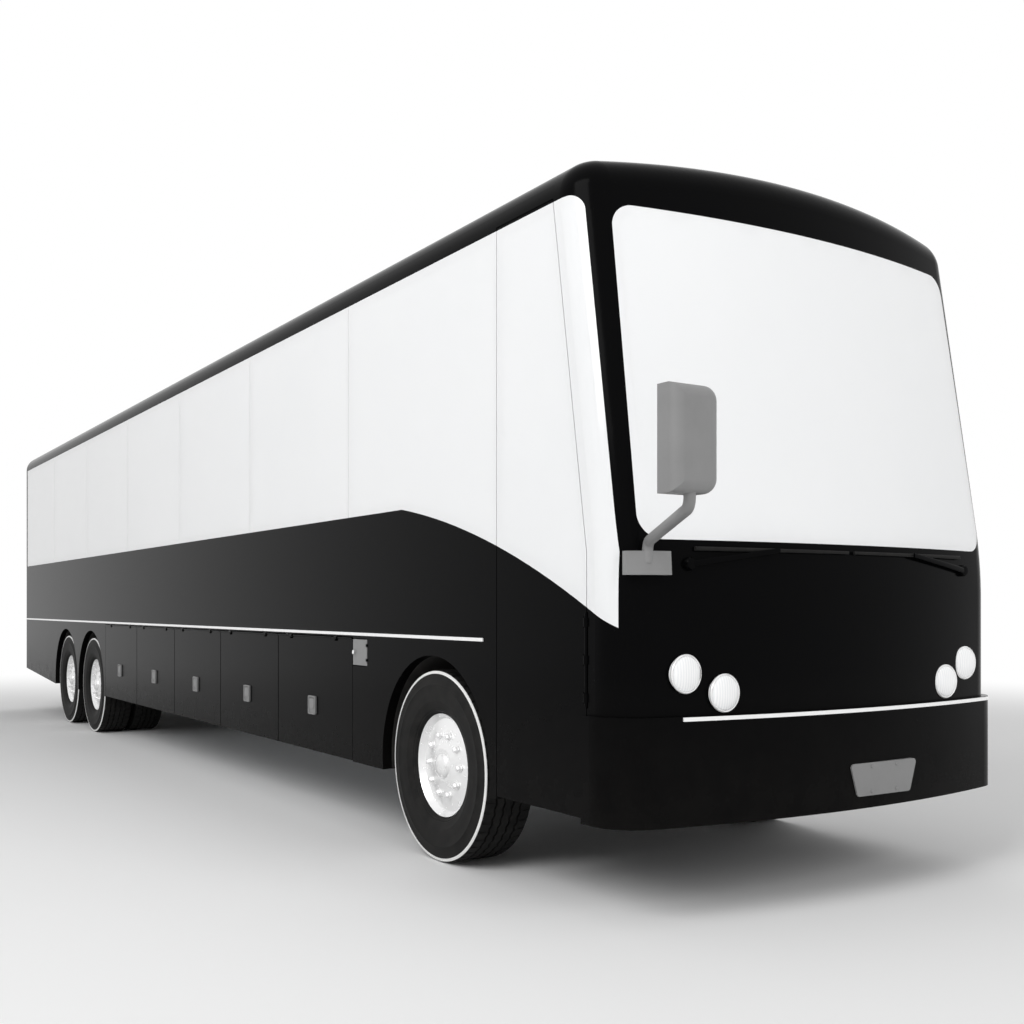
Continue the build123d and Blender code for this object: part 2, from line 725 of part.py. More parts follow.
# Number plate panel: a blank pad with a flat face, moulded to the bow of the bumper behind it
with BuildPart() as plate_panel:
    with BuildSketch(Plane.YZ.offset(X_FRONT_AXLE)) as plate_outline:
        with Locations((PLATE_Y, PLATE_Z)):
            Trapezoid(PLATE_TOP_W, PLATE_H, PLATE_SLOPE, rotation=180)
        fillet(plate_outline.vertices(), PLATE_CORNER_R)
        with Locations(*plate_holes):
            Circle(PLATE_HOLE_R, mode=Mode.SUBTRACT)
    extrude(amount=FRONT_OVERHANG + BUMPER_PROUD + PLATE_T)
    add(bumper_form, mode=Mode.SUBTRACT)
plate_panel.part.label = "plate_panel"
export_step(plate_panel.part, "parts/plate_panel.step")

# Bright trim: a strip along each side above the luggage doors, and a stripe round the bumper
strip_rear = X_REAR + REAR_EDGE_R + TRIM_END_GAP
strip_length = X_FRONT_AXLE + TRIM_FRONT - strip_rear
with BuildPart() as bright_trim:
    with BuildSketch(Plane.XZ.offset(SIDE)):
        with Locations((strip_rear, TRIM_Z)):
            Rectangle(strip_length, TRIM_H, align=(Align.MIN, Align.CENTER))
    extrude(amount=TRIM_T)
    mirror(about=Plane.XZ)
with BuildPart() as bumper_stripe:
    add(envelope(-BUMPER_PROUD - TRIM_T, SKIRT_Z))
    add(bumper_form, mode=Mode.SUBTRACT)
    with BuildSketch(Plane.YZ.offset(X_FRONT_AXLE + FRONT_JOINT)):
        with Locations((STRIPE_Y[0], STRIPE_Z)):
            Rectangle(STRIPE_Y[1] - STRIPE_Y[0], TRIM_H, align=(Align.MIN, Align.CENTER))
    extrude(amount=FRONT_OVERHANG, mode=Mode.INTERSECT)
with BuildPart() as trim_set:
    add(bright_trim.part)
    add(bumper_stripe.part)
trim_set.part.label = "bright_trim"
export_step(trim_set.part, "parts/bright_trim.step")

# Tail: the skin behind the rear joint, with the rear window, the engine doorway and lamp pockets
engine_hinge = (X_REAR + ENGINE_RECESS, ENGINE_HINGE_Z)
with BuildPart() as rear_cap:
    add(skin.part)
    add(tail_block, mode=Mode.INTERSECT)
    add(rear_window.part, mode=Mode.SUBTRACT)
    with BuildSketch(Plane.YZ.offset(X_REAR)):
        with Locations((0, REAR_WINDOW_Z)):
            RectangleRounded(
                REAR_WINDOW[0] - 2 * GLASS_FLANGE,
                REAR_WINDOW[1] - 2 * GLASS_FLANGE,
                SCREEN_CORNER_R - GLASS_FLANGE,
            )
        with Locations((0, ENGINE_HINGE_Z + LUG_RISE)):
            Rectangle(
                ENGINE_W + 2 * DOOR_GAP,
                ENGINE_HINGE_Z - ENGINE_LOW_Z + LUG_RISE + DOOR_GAP,
                align=(Align.CENTER, Align.MAX),
            )
    extrude(amount=WALL, mode=Mode.SUBTRACT)
    with BuildSketch(Plane.YZ.offset(X_REAR)):
        with Locations(*((sign * TAIL_LAMP_Y, TAIL_LAMP_Z) for _, sign in SIDES)):
            Rectangle(TAIL_LAMP[0] + 2 * FIT, TAIL_LAMP[1] + 2 * FIT)
    extrude(amount=TAIL_LAMP_DEPTH, mode=Mode.SUBTRACT)
    for y in ENGINE_LUG_Y:
        with BuildSketch(Plane.XZ.offset(-y - BAY_LUG_W / 2)):
            with Locations(engine_hinge):
                Circle(BAY_LUG_R)
                Rectangle(WALL / 2, 2 * LUG_RISE, align=(Align.MIN, Align.MIN))
                Circle(BAY_ROD_R + FIT, mode=Mode.SUBTRACT)
        extrude(amount=BAY_LUG_W)
rear_cap.part.label = "rear_cap"
export_step(rear_cap.part, "parts/rear_cap.step")

# Engine door: a lid hung from a rod along its top edge, with a hood over each louvre slot
with BuildPart() as engine_door:
    with BuildSketch(Plane.YZ.offset(X_REAR + ENGINE_RECESS)):
        with Locations((0, ENGINE_HINGE_Z)):
            Rectangle(ENGINE_W, ENGINE_HINGE_Z - ENGINE_LOW_Z, align=(Align.CENTER, Align.MAX))
        with Locations(*((y, ENGINE_HINGE_Z) for y in ENGINE_LUG_Y)):
            Rectangle(BAY_LUG_W + 2 * DOOR_GAP, 2 * (BAY_LUG_R + LUG_GAP), mode=Mode.SUBTRACT)
        with Locations((0, LOUVRE_Z)):
            with GridLocations(LOUVRE_W + LOUVRE_GAP, LOUVRE_PITCH, 2, LOUVRE_COUNT):
                Rectangle(LOUVRE_W, LOUVRE_H, mode=Mode.SUBTRACT)
    extrude(amount=WALL - ENGINE_RECESS)
    with BuildSketch(Plane.XZ.offset(-ENGINE_W / 2)):
        with Locations(engine_hinge):
            Circle(BAY_ROD_R)
    extrude(amount=ENGINE_W)
    louvre_rows = [LOUVRE_Z + (i - (LOUVRE_COUNT - 1) / 2) * LOUVRE_PITCH for i in range(LOUVRE_COUNT)]
    for _, sign in SIDES:
        with BuildSketch(Plane.XZ.offset(sign * (LOUVRE_W + LOUVRE_GAP) / 2 - LOUVRE_W / 2)):
            with Locations(*((X_REAR + ENGINE_RECESS, z + LOUVRE_H / 2) for z in louvre_rows)):
                Polygon(
                    (0, 0),
                    (0, LOUVRE_SHEET),
                    (-LOUVRE_HOOD, LOUVRE_SHEET - LOUVRE_H),
                    (-LOUVRE_HOOD, -LOUVRE_H),
                    align=None,
                )
        extrude(amount=LOUVRE_W)
engine_door.part.label = "engine_door"
export_step(engine_door.part, "parts/engine_door.step")

# Tail lamps: upright clusters in pockets at the rear corners
with BuildPart() as tail_lamps:
    with BuildSketch(Plane.YZ.offset(X_REAR + TAIL_LAMP_SET)):
        with Locations(*((sign * TAIL_LAMP_Y, TAIL_LAMP_Z) for _, sign in SIDES)):
            Rectangle(*TAIL_LAMP)
    extrude(amount=TAIL_LAMP_DEPTH - TAIL_LAMP_SET)
tail_lamps.part.label = "tail_lamps"
export_step(tail_lamps.part, "parts/tail_lamps.step")

# Cabin floor with the riser down to the driver's platform
floor_low = FLOOR_TOP - FLOOR_T
x_platform = X_FRONT_AXLE + PLATFORM_REAR
cabin_half = SIDE - WALL
cabin_form = envelope(WALL, SKIRT_Z)
with BuildPart() as cabin_floor:
    with BuildSketch(Plane.XZ):
        with BuildLine():
            Polyline(
                (X_REAR, FLOOR_TOP),
                (x_platform, FLOOR_TOP),
                (x_platform, PLATFORM_TOP - PLATFORM_T),
                (x_platform - RISER_T, PLATFORM_TOP - PLATFORM_T),
                (x_platform - RISER_T, floor_low),
                (X_REAR, floor_low),
                close=True,
            )
        make_face()
    extrude(amount=SIDE, both=True)
    add(cabin_form, mode=Mode.INTERSECT)
cabin_floor.part.label = "cabin_floor"
export_step(cabin_floor.part, "parts/cabin_floor.step")

# Driver's platform with the entry steps folded down from its right-hand edge
upper = [(SIDE, PLATFORM_TOP)]
lower = [(SIDE, PLATFORM_TOP - PLATFORM_T)]
for i in range(STEP_COUNT):
    edge_y = -cabin_half + (STEP_COUNT - i) * STEP_RUN
    upper += [(edge_y, PLATFORM_TOP - i * STEP_RISE), (edge_y, PLATFORM_TOP - (i + 1) * STEP_RISE)]
    lower += [(edge_y + PLATFORM_T, z - PLATFORM_T) for _, z in upper[-2:]]
upper.append((-SIDE, upper[-1][1]))
lower.append((-SIDE, upper[-1][1] - PLATFORM_T))
with BuildPart() as entry_steps:
    with BuildSketch(Plane.YZ.offset(x_platform)):
        with BuildLine():
            Polyline(*upper, *reversed(lower), close=True)
        make_face()
    extrude(amount=X_NOSE - x_platform)
    with BuildSketch(Plane.YZ.offset(x_platform)):
        with Locations((-SIDE, lower[-1][1])):
            Rectangle(
                WALL + STEP_COUNT * STEP_RUN + PLATFORM_T,
                PLATFORM_TOP - PLATFORM_T - lower[-1][1],
                align=(Align.MIN, Align.MIN),
            )
    extrude(amount=-RISER_T)
    add(cabin_form, mode=Mode.INTERSECT)
entry_steps.part.label = "entry_steps"
export_step(entry_steps.part, "parts/entry_steps.step")

# Luggage deck and the bulkheads between the bays
bay_half = SIDE - WALL - BAY_SIDE_GAP
with BuildPart() as luggage_deck:
    with BuildSketch(Plane.XY.offset(SKIRT_Z)):
        with Locations((BAY_REAR, 0)):
            Rectangle(BAY_FRONT - BAY_REAR, 2 * bay_half, align=(Align.MIN, Align.CENTER))
    extrude(amount=DECK_T)
luggage_deck.part.label = "luggage_deck"
export_step(luggage_deck.part, "parts/luggage_deck.step")
bulkhead_pitch = (BAY_FRONT - BAY_REAR - BULKHEAD_T) / BAY_COUNT
with BuildPart() as luggage_bulkheads:
    with BuildSketch(Plane.XY.offset(SKIRT_Z + DECK_T)):
        with Locations(*((BAY_REAR + i * bulkhead_pitch, 0) for i in range(BAY_COUNT + 1))):
            Rectangle(BULKHEAD_T, 2 * bay_half, align=(Align.MIN, Align.CENTER))
    extrude(amount=floor_low - SKIRT_Z - DECK_T)
luggage_bulkheads.part.label = "luggage_bulkheads"
export_step(luggage_bulkheads.part, "parts/luggage_bulkheads.step")

# Wheel housings: a half tunnel over each wheel, closed at its inner end apart from the axle's slot
liner_r = ARCH_R + LINER_T
with BuildPart() as wheel_housings:
    for x in (X_FRONT_AXLE, X_DRIVE_AXLE, X_TAG_AXLE):
        with BuildSketch(Plane.XZ.offset(LINER_INNER_Y)):
            with Locations((x, TYRE_R)):
                Circle(liner_r)
                Circle(ARCH_R, mode=Mode.SUBTRACT)
        extrude(amount=cabin_half - LINER_INNER_Y)
        with BuildSketch(Plane.XZ.offset(LINER_INNER_Y)):
            with Locations((x, TYRE_R)):
                Circle(liner_r)
            with Locations((x, 0)):
                Rectangle(AXLE_SLOT_W, AXLE_SLOT_Z, align=(Align.CENTER, Align.MIN), mode=Mode.SUBTRACT)
        extrude(amount=-LINER_T)
    split(bisect_by=Plane.XY.offset(SKIRT_Z), keep=Keep.TOP)
    mirror(about=Plane.XZ)
wheel_housings.part.label = "wheel_housings"
export_step(wheel_housings.part, "parts/wheel_housings.step")

# Subframes: rails and cross members under the floor that carry the bellows and the engine
with BuildPart() as subframes:
    for rear_end, front_end in (
        (X_FRONT_AXLE - FRONT_RAIL[0], X_FRONT_AXLE + FRONT_RAIL[1]),
        (X_REAR + REAR_RAIL_GAP, BAY_REAR - BAY_MARGIN),
    ):
        with BuildSketch(Plane.XY.offset(RAIL_LOW_Z)):
            with Locations(*((rear_end, sign * RAIL_Y) for _, sign in SIDES)):
                Rectangle(front_end - rear_end, RAIL_W, align=(Align.MIN, Align.CENTER))
            with Locations((rear_end + RAIL_W / 2, 0), (front_end - RAIL_W / 2, 0)):
                Rectangle(RAIL_W, 2 * RAIL_Y)
        extrude(amount=floor_low - RAIL_LOW_Z)
subframes.part.label = "subframes"
export_step(subframes.part, "parts/subframes.step")

# Engine: one plain block hung between the rear rails behind the tag axle
engine_half = RAIL_Y - RAIL_W / 2 - FIT
with BuildPart() as engine_block:
    with BuildSketch(Plane.XY.offset(ENGINE_BOTTOM_Z)):
        with Locations((X_REAR + ENGINE_SETBACK, 0)):
            Rectangle(ENGINE_LENGTH, 2 * engine_half, align=(Align.MIN, Align.CENTER))
    extrude(amount=ENGINE_HEIGHT)
    chamfer(engine_block.edges().group_by(Axis.Z)[0], ENGINE_CHAMFER)
engine_block.part.label = "engine_block"
export_step(engine_block.part, "parts/engine_block.step")

# Front axle: a dropped beam with an eye and a fixed kingpin at each end, and seats for the bellows
kingpin_y = WHEEL_Y - KINGPIN_SET
beam_half = BEAM_H / 2
drop_z = TYRE_R - BEAM_DROP
right_half = [
    (0, drop_z + beam_half),
    (-BEAM_DROP_Y, drop_z + beam_half),
    (-BEAM_RISE_Y, TYRE_R + beam_half),
    (-kingpin_y, TYRE_R + beam_half),
    (-kingpin_y, TYRE_R - beam_half),
    (-BEAM_RISE_Y, TYRE_R - beam_half),
    (-BEAM_DROP_Y, drop_z - beam_half),
    (0, drop_z - beam_half),
]
with BuildPart() as front_axle_beam:
    with BuildSketch(Plane.YZ.offset(X_FRONT_AXLE - BEAM_W / 2)):
        with BuildLine():
            Polyline(*right_half, close=True)
        make_face()
    extrude(amount=BEAM_W)
    with BuildSketch(Plane.XY.offset(TYRE_R - EYE_H / 2)):
        with Locations((X_FRONT_AXLE, -kingpin_y)):
            Circle(EYE_R)
    extrude(amount=EYE_H)
    with BuildSketch(Plane.XY.offset(TYRE_R - KINGPIN_H / 2)):
        with Locations((X_FRONT_AXLE, -kingpin_y)):
            Circle(KINGPIN_R)
    extrude(amount=KINGPIN_H)
    with BuildSketch(Plane.XY.offset(drop_z)):
        with Locations((X_FRONT_AXLE, -RAIL_Y)):
            Rectangle(SEAT_W, SEAT_W)
    extrude(amount=BELLOWS_LOW_Z - drop_z)
    mirror(about=Plane.XZ)
front_axle_beam.part.label = "front_axle_beam"
export_step(front_axle_beam.part, "parts/front_axle_beam.step")

# Drive and tag axles: tubes turned down to spindles, the drive axle swelling round its final drive
REAR_AXLES = (
    # axle place, spindle shoulder from the middle, tube radius, final drive radius
    (X_DRIVE_AXLE, WHEEL_Y - TWIN_PITCH - RIM_W / 2 - SHOULDER_GAP, AXLE_TUBE_R, FINAL_DRIVE_R),
    (X_TAG_AXLE, WHEEL_Y - RIM_W / 2 - SHOULDER_GAP, AXLE_TUBE_R, AXLE_TUBE_R),
)
with BuildPart() as rear_axles:
    for x, shoulder_y, tube_r, drive_r in REAR_AXLES:
        with BuildSketch(Plane.XY.offset(TYRE_R)):
            with BuildLine():
                Polyline(
                    (x, 0),
                    (x + drive_r, 0),
                    (x + drive_r, -FINAL_DRIVE_W / 2),
                    (x + tube_r, -FINAL_DRIVE_W),
                    (x + tube_r, -shoulder_y),
                    (x + SPINDLE_R, -shoulder_y),
                    (x + SPINDLE_R, -WHEEL_Y - SPINDLE_REACH),
                    (x, -WHEEL_Y - SPINDLE_REACH),
                    close=True,
                )
            make_face()
        revolve(axis=Axis((x, 0, TYRE_R), (0, 1, 0)))
        with BuildSketch(Plane.XY.offset(AXLE_SEAT_Z)):
            with Locations((x, -RAIL_Y)):
                Rectangle(SEAT_W, SEAT_W)
        extrude(amount=BELLOWS_LOW_Z - AXLE_SEAT_Z)
    mirror(about=Plane.XZ)
rear_axles.part.label = "rear_axles"
export_step(rear_axles.part, "parts/rear_axles.step")

# Air bellows between the axle seats and the rails, two lobes each
bellows_h = RAIL_LOW_Z - BELLOWS_LOW_Z
with BuildPart() as bellows_form:
    with BuildSketch(Plane.XZ):
        with BuildLine():
            Polyline(
                (0, 0),
                (BELLOWS_END_R, 0),
                (BELLOWS_R, bellows_h / 4),
                (BELLOWS_END_R, bellows_h / 2),
                (BELLOWS_R, 3 * bellows_h / 4),
                (BELLOWS_END_R, bellows_h),
                (0, bellows_h),
                close=True,
            )
        make_face()
    revolve(axis=Axis.Z)
with BuildPart() as air_bellows:
    for x in (X_FRONT_AXLE, X_DRIVE_AXLE, X_TAG_AXLE):
        with Locations(*((x, sign * RAIL_Y, BELLOWS_LOW_Z) for _, sign in SIDES)):
            add(bellows_form.part)
air_bellows.part.label = "air_bellows"
export_step(air_bellows.part, "parts/air_bellows.step")

# Steering knuckle: yoke round the kingpin, flange and wheel spindle; outboard is +Y in this form
with BuildPart() as knuckle_form:
    with BuildSketch(Plane.XZ.offset(KNUCKLE_FACE)):
        Circle(KNUCKLE_R)
    extrude(amount=KNUCKLE_T)
    with BuildSketch(Plane.XZ.offset(KNUCKLE_FACE)):
        Circle(SPINDLE_R)
    extrude(amount=-KNUCKLE_FACE - SPINDLE_REACH)
    for ear_z in (EYE_H / 2 + EAR_GAP, -EYE_H / 2 - EAR_GAP - EAR_T):
        with BuildSketch(Plane.XY.offset(ear_z)):
            with Locations((0, -KINGPIN_SET)):
                Circle(EAR_R)
                Rectangle(2 * EAR_R, KINGPIN_SET - KNUCKLE_FACE, align=(Align.CENTER, Align.MIN))
                Circle(KINGPIN_R + FIT, mode=Mode.SUBTRACT)
        extrude(amount=EAR_T)

# Tyre and wheel sections, outboard is +Y; the wheel has a hub cap, a dished face and a rim
with BuildPart() as tyre_form:
    with BuildSketch(Plane.XY):
        with BuildLine():
            Polyline(
                (RIM_R, -TYRE_W / 2),
                (RIM_R, TYRE_W / 2),
                (TYRE_R, TREAD_W / 2),
                (TYRE_R, -TREAD_W / 2),
                close=True,
            )
        make_face()
    revolve(axis=Axis.Y)


def wheel_form(inner_y, hollow):
    """Wheel of one or two rims on one hub; a hollow one takes the knuckle in its inner side."""
    face_y = RIM_W / 2
    rim_r = RIM_R - FIT
    bore_r = SPINDLE_R + FIT
    hub_y = HUB_INNER_Y if hollow else inner_y
    pocket = [(rim_r, inner_y)]
    if hollow:
        pocket += [(RIM_INNER_R, inner_y), (RIM_INNER_R, POCKET_Y), (HUB_R, POCKET_Y), (HUB_R, hub_y)]
    with BuildPart() as wheel:
        with BuildSketch(Plane.XY):
            with BuildLine():
                Polyline(
                    (0, HUB_CAP_Y),
                    (HUB_CAP_R, HUB_CAP_Y),
                    (DISH_R, DISH_Y),
                    (rim_r, face_y),
                    *pocket,
                    (bore_r, hub_y),
                    (bore_r, SPINDLE_REACH + SHOULDER_GAP),
                    (0, SPINDLE_REACH + SHOULDER_GAP),
                    close=True,
                )
            make_face()
        revolve(axis=Axis.Y)
    return wheel.part


WHEEL_ROWS = (
    # name, axle place, tyres across, hollow for a knuckle
    ("front", X_FRONT_AXLE, 1, True),
    ("drive", X_DRIVE_AXLE, 2, False),
    ("tag", X_TAG_AXLE, 1, False),
)
for row, x, tyres, hollow in WHEEL_ROWS:
    inner_y = -RIM_W / 2 - (tyres - 1) * TWIN_PITCH
    wheel_part = wheel_form(inner_y, hollow)
    for side, sign in SIDES:
        centre = Location((x, sign * WHEEL_Y, TYRE_R), (0, 0, 0 if sign > 0 else 180))
        with BuildPart() as wheel:
            with Locations(centre):
                add(wheel_part)
        wheel.part.label = f"wheel_{row}_{side}"
        export_step(wheel.part, f"parts/wheel_{row}_{side}.step")
        with BuildPart() as tyre:
            with Locations(centre):
                with Locations(*((0, -i * TWIN_PITCH, 0) for i in range(tyres))):
                    add(tyre_form.part)
        tyre.part.label = f"tyre_{row}_{side}"
        export_step(tyre.part, f"parts/tyre_{row}_{side}.step")
        if hollow:
            with BuildPart() as knuckle:
                with Locations(centre):
                    add(knuckle_form.part)
            knuckle.part.label = f"knuckle_{side}"
            export_step(knuckle.part, f"parts/knuckle_{side}.step")

# Dashboard across the driver's side, with the column and the steering wheel
with BuildPart() as dashboard:
    with BuildSketch(Plane.XZ.offset(DASH_RIGHT_Y)):
        with BuildLine():
            Polyline(
                (X_FRONT_AXLE + DASH_REAR, PLATFORM_TOP),
                (X_FRONT_AXLE + DASH_REAR, DASH_EDGE_Z),
                (X_FRONT_AXLE + DASH_BROW, DASH_TOP_Z),
                (X_NOSE, DASH_TOP_Z),
                (X_NOSE, PLATFORM_TOP),
                close=True,
            )
        make_face()
    extrude(amount=-DASH_RIGHT_Y - SIDE)
    add(envelope(WALL + FIT, SKIRT_Z), mode=Mode.INTERSECT)
    column = Plane(
        origin=(X_FRONT_AXLE + DASH_REAR, DRIVER_Y, DASH_EDGE_Z),
        x_dir=(0, 1, 0),
        z_dir=(-math.sin(math.radians(COLUMN_TILT)), 0, math.cos(math.radians(COLUMN_TILT))),
    )
    with BuildSketch(column.offset(-COLUMN_SINK)):
        Circle(COLUMN_R)
    extrude(amount=COLUMN_SINK + COLUMN_LENGTH)
    with BuildSketch(column.offset(COLUMN_LENGTH - (STEER_GRIP + STEER_SPOKE[1]) / 2)):
        Circle(STEER_BOSS_R)
        with PolarLocations(0, STEER_SPOKES, start_angle=180 / STEER_SPOKES):
            Rectangle(STEER_R - STEER_GRIP / 2, STEER_SPOKE[0], align=(Align.MIN, Align.CENTER))
    extrude(amount=STEER_SPOKE[1])
    with Locations(column.offset(COLUMN_LENGTH - STEER_GRIP / 2)):
        Torus(STEER_R - STEER_GRIP / 2, STEER_GRIP / 2)
dashboard.part.label = "dashboard"
export_step(dashboard.part, "parts/dashboard.step")

# Driver's seat: pedestal, cushion and back in one side outline
seat_x = X_FRONT_AXLE + SEAT_REAR
with BuildPart() as driver_seat:
    with BuildSketch(Plane.XZ.offset(-DRIVER_Y + DRIVER_SEAT_W / 2)):
        with BuildLine():
            Polyline(
                (seat_x + SEAT_BACK_T, PLATFORM_TOP),
                (seat_x + SEAT_BACK_T, SEAT_PAN_Z),
                (seat_x, SEAT_PAN_Z),
                (seat_x - SEAT_LEAN, SEAT_BACK_Z),
                (seat_x - SEAT_LEAN + SEAT_BACK_T, SEAT_BACK_Z),
                (seat_x + SEAT_BACK_T, SEAT_PAN_Z + SEAT_PAD_T),
                (seat_x + SEAT_DEPTH, SEAT_PAN_Z + SEAT_PAD_T),
                (seat_x + SEAT_DEPTH, SEAT_PAN_Z),
                (seat_x + SEAT_DEPTH - SEAT_BACK_T, SEAT_PAN_Z),
                (seat_x + SEAT_DEPTH - SEAT_BACK_T, PLATFORM_TOP),
                close=True,
            )
        make_face()
    extrude(amount=-DRIVER_SEAT_W)
driver_seat.part.label = "driver_seat"
export_step(driver_seat.part, "parts/driver_seat.step")

# Lounge benches: one along each side and one across the back, each a seat box with a backrest
bench_wall = cabin_half - BENCH_GAP
bench_section = (
    (0, FLOOR_TOP),
    (0, FLOOR_TOP + BENCH_BACK_H),
    (BENCH_BACK_T, FLOOR_TOP + BENCH_BACK_H),
    (BENCH_BACK_T, FLOOR_TOP + BENCH_SEAT_H),
    (BENCH_DEPTH, FLOOR_TOP + BENCH_SEAT_H),
    (BENCH_DEPTH, FLOOR_TOP),
    (BENCH_DEPTH - BENCH_PANEL_T, FLOOR_TOP),
    (BENCH_DEPTH - BENCH_PANEL_T, FLOOR_TOP + BENCH_SEAT_H - BENCH_PAD_T),
    (BENCH_BACK_T, FLOOR_TOP + BENCH_SEAT_H - BENCH_PAD_T),
    (BENCH_BACK_T, FLOOR_TOP),
)
bench_rear = X_REAR + WALL + BENCH_GAP
side_bench_rear = bench_rear + BENCH_DEPTH + BENCH_GAP
side_bench_front = x_platform - BENCH_FRONT_GAP
with BuildPart() as lounge_benches:
    with BuildSketch(Plane.YZ.offset(side_bench_rear)):
        with BuildLine():
            Polyline(*((-bench_wall + d, z) for d, z in bench_section), close=True)
        make_face()
    extrude(amount=side_bench_front - side_bench_rear)
    mirror(about=Plane.XZ)
with BuildPart() as rear_bench:
    with BuildSketch(Plane.XZ):
        with BuildLine():
            Polyline(*((bench_rear + d, z) for d, z in bench_section), close=True)
        make_face()
    extrude(amount=bench_wall, both=True)
with BuildPart() as bench_set:
    add(lounge_benches.part)
    add(rear_bench.part)
    add(envelope(WALL + BENCH_GAP, SKIRT_Z), mode=Mode.INTERSECT)
bench_set.part.label = "lounge_benches"
export_step(bench_set.part, "parts/lounge_benches.step")

# Roof hatches: low lids that sit on the crown
with BuildPart() as roof_hatches:
    with BuildSketch(Plane.XY.offset(BODY_HEIGHT - ROOF_CROWN)):
        with Locations(*((x, 0) for x in HATCH_X)):
            RectangleRounded(*HATCH_SIZE, HATCH_CORNER_R)
    extrude(amount=ROOF_CROWN + HATCH_H)
    add(envelope(0, SKIRT_Z), mode=Mode.SUBTRACT)
roof_hatches.part.label = "roof_hatches"
export_step(roof_hatches.part, "parts/roof_hatches.step")

# Mirrors: a foot bent to the body, a rising arm and a head with two glass recesses, rounded towards
# the body, ahead of the right-hand corner and beside the driver's window on the left
head_y = SIDE + MIRROR_OUT - MIRROR_HEAD[1] / 2
MIRRORS = (
    # foot centre, foot box, root of the arm, head centre
    (
        (X_FRONT_AXLE + FOOT_FRONT_X, -FOOT_FRONT_Y, FOOT_Z),
        FOOT_FRONT,
        (nose_x(ARM_ROOT_Y) + FOOT_PROUD / 2, -ARM_ROOT_Y, FOOT_Z),
        (X_NOSE + MIRROR_REACH - MIRROR_HEAD[0] / 2, -head_y, MIRROR_Z),
    ),
    (
        (X_FRONT_AXLE + FOOT_SIDE_X, SIDE, FOOT_SIDE_Z),
        FOOT_SIDE,
        (X_FRONT_AXLE + FOOT_SIDE_X, SIDE + FOOT_PROUD / 2, FOOT_SIDE_Z),
        (X_FRONT_AXLE + MIRROR_LEFT_X, head_y, MIRROR_Z),
    ),
)
with BuildPart() as mirror_head:
    Box(*MIRROR_HEAD)
    fillet(mirror_head.faces().sort_by(Axis.Y)[-1].edges().filter_by(Axis.X), MIRROR_CORNER_R)
    fillet(mirror_head.faces().sort_by(Axis.X)[-1].edges(), MIRROR_SHELL_R)
    with BuildSketch(Plane.YZ.offset(-MIRROR_HEAD[0] / 2)):
        for width, height, z in MIRROR_GLASS:
            with Locations((0, z)):
                RectangleRounded(width, height, MIRROR_GLASS_R)
    extrude(amount=MIRROR_GLASS_SET, mode=Mode.SUBTRACT)
foot_form = envelope(-FOOT_PROUD, SKIRT_Z)
body_form = envelope(0, SKIRT_Z)
mirror_units = []
for foot, foot_box, root, head in MIRRORS:
    with BuildPart() as mirror_unit:
        with Locations(foot):
            Box(*foot_box)
        add(foot_form, mode=Mode.INTERSECT)
        add(body_form, mode=Mode.SUBTRACT)
        with BuildLine():
            arm = FilletPolyline(
                root,
                (root[0], root[1], root[2] + ARM_RISE),
                (head[0], head[1], head[2] - MIRROR_HEAD[2] / 2 - ARM_DROP),
                head,
                radius=ARM_BEND_R,
            )
        with BuildSketch(Plane(arm @ 0, z_dir=arm % 0)):
            Circle(ARM_R)
        sweep(path=arm)
        with Locations(head):
            add(mirror_head.part if head[1] < 0 else mirror_head.part.mirror(Plane.XZ))
    mirror_units.append(mirror_unit.part)
with BuildPart() as mirrors:
    for unit in mirror_units:
        add(unit)
mirrors.part.label = "mirrors"
export_step(mirrors.part, "parts/mirrors.step")
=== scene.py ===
import math

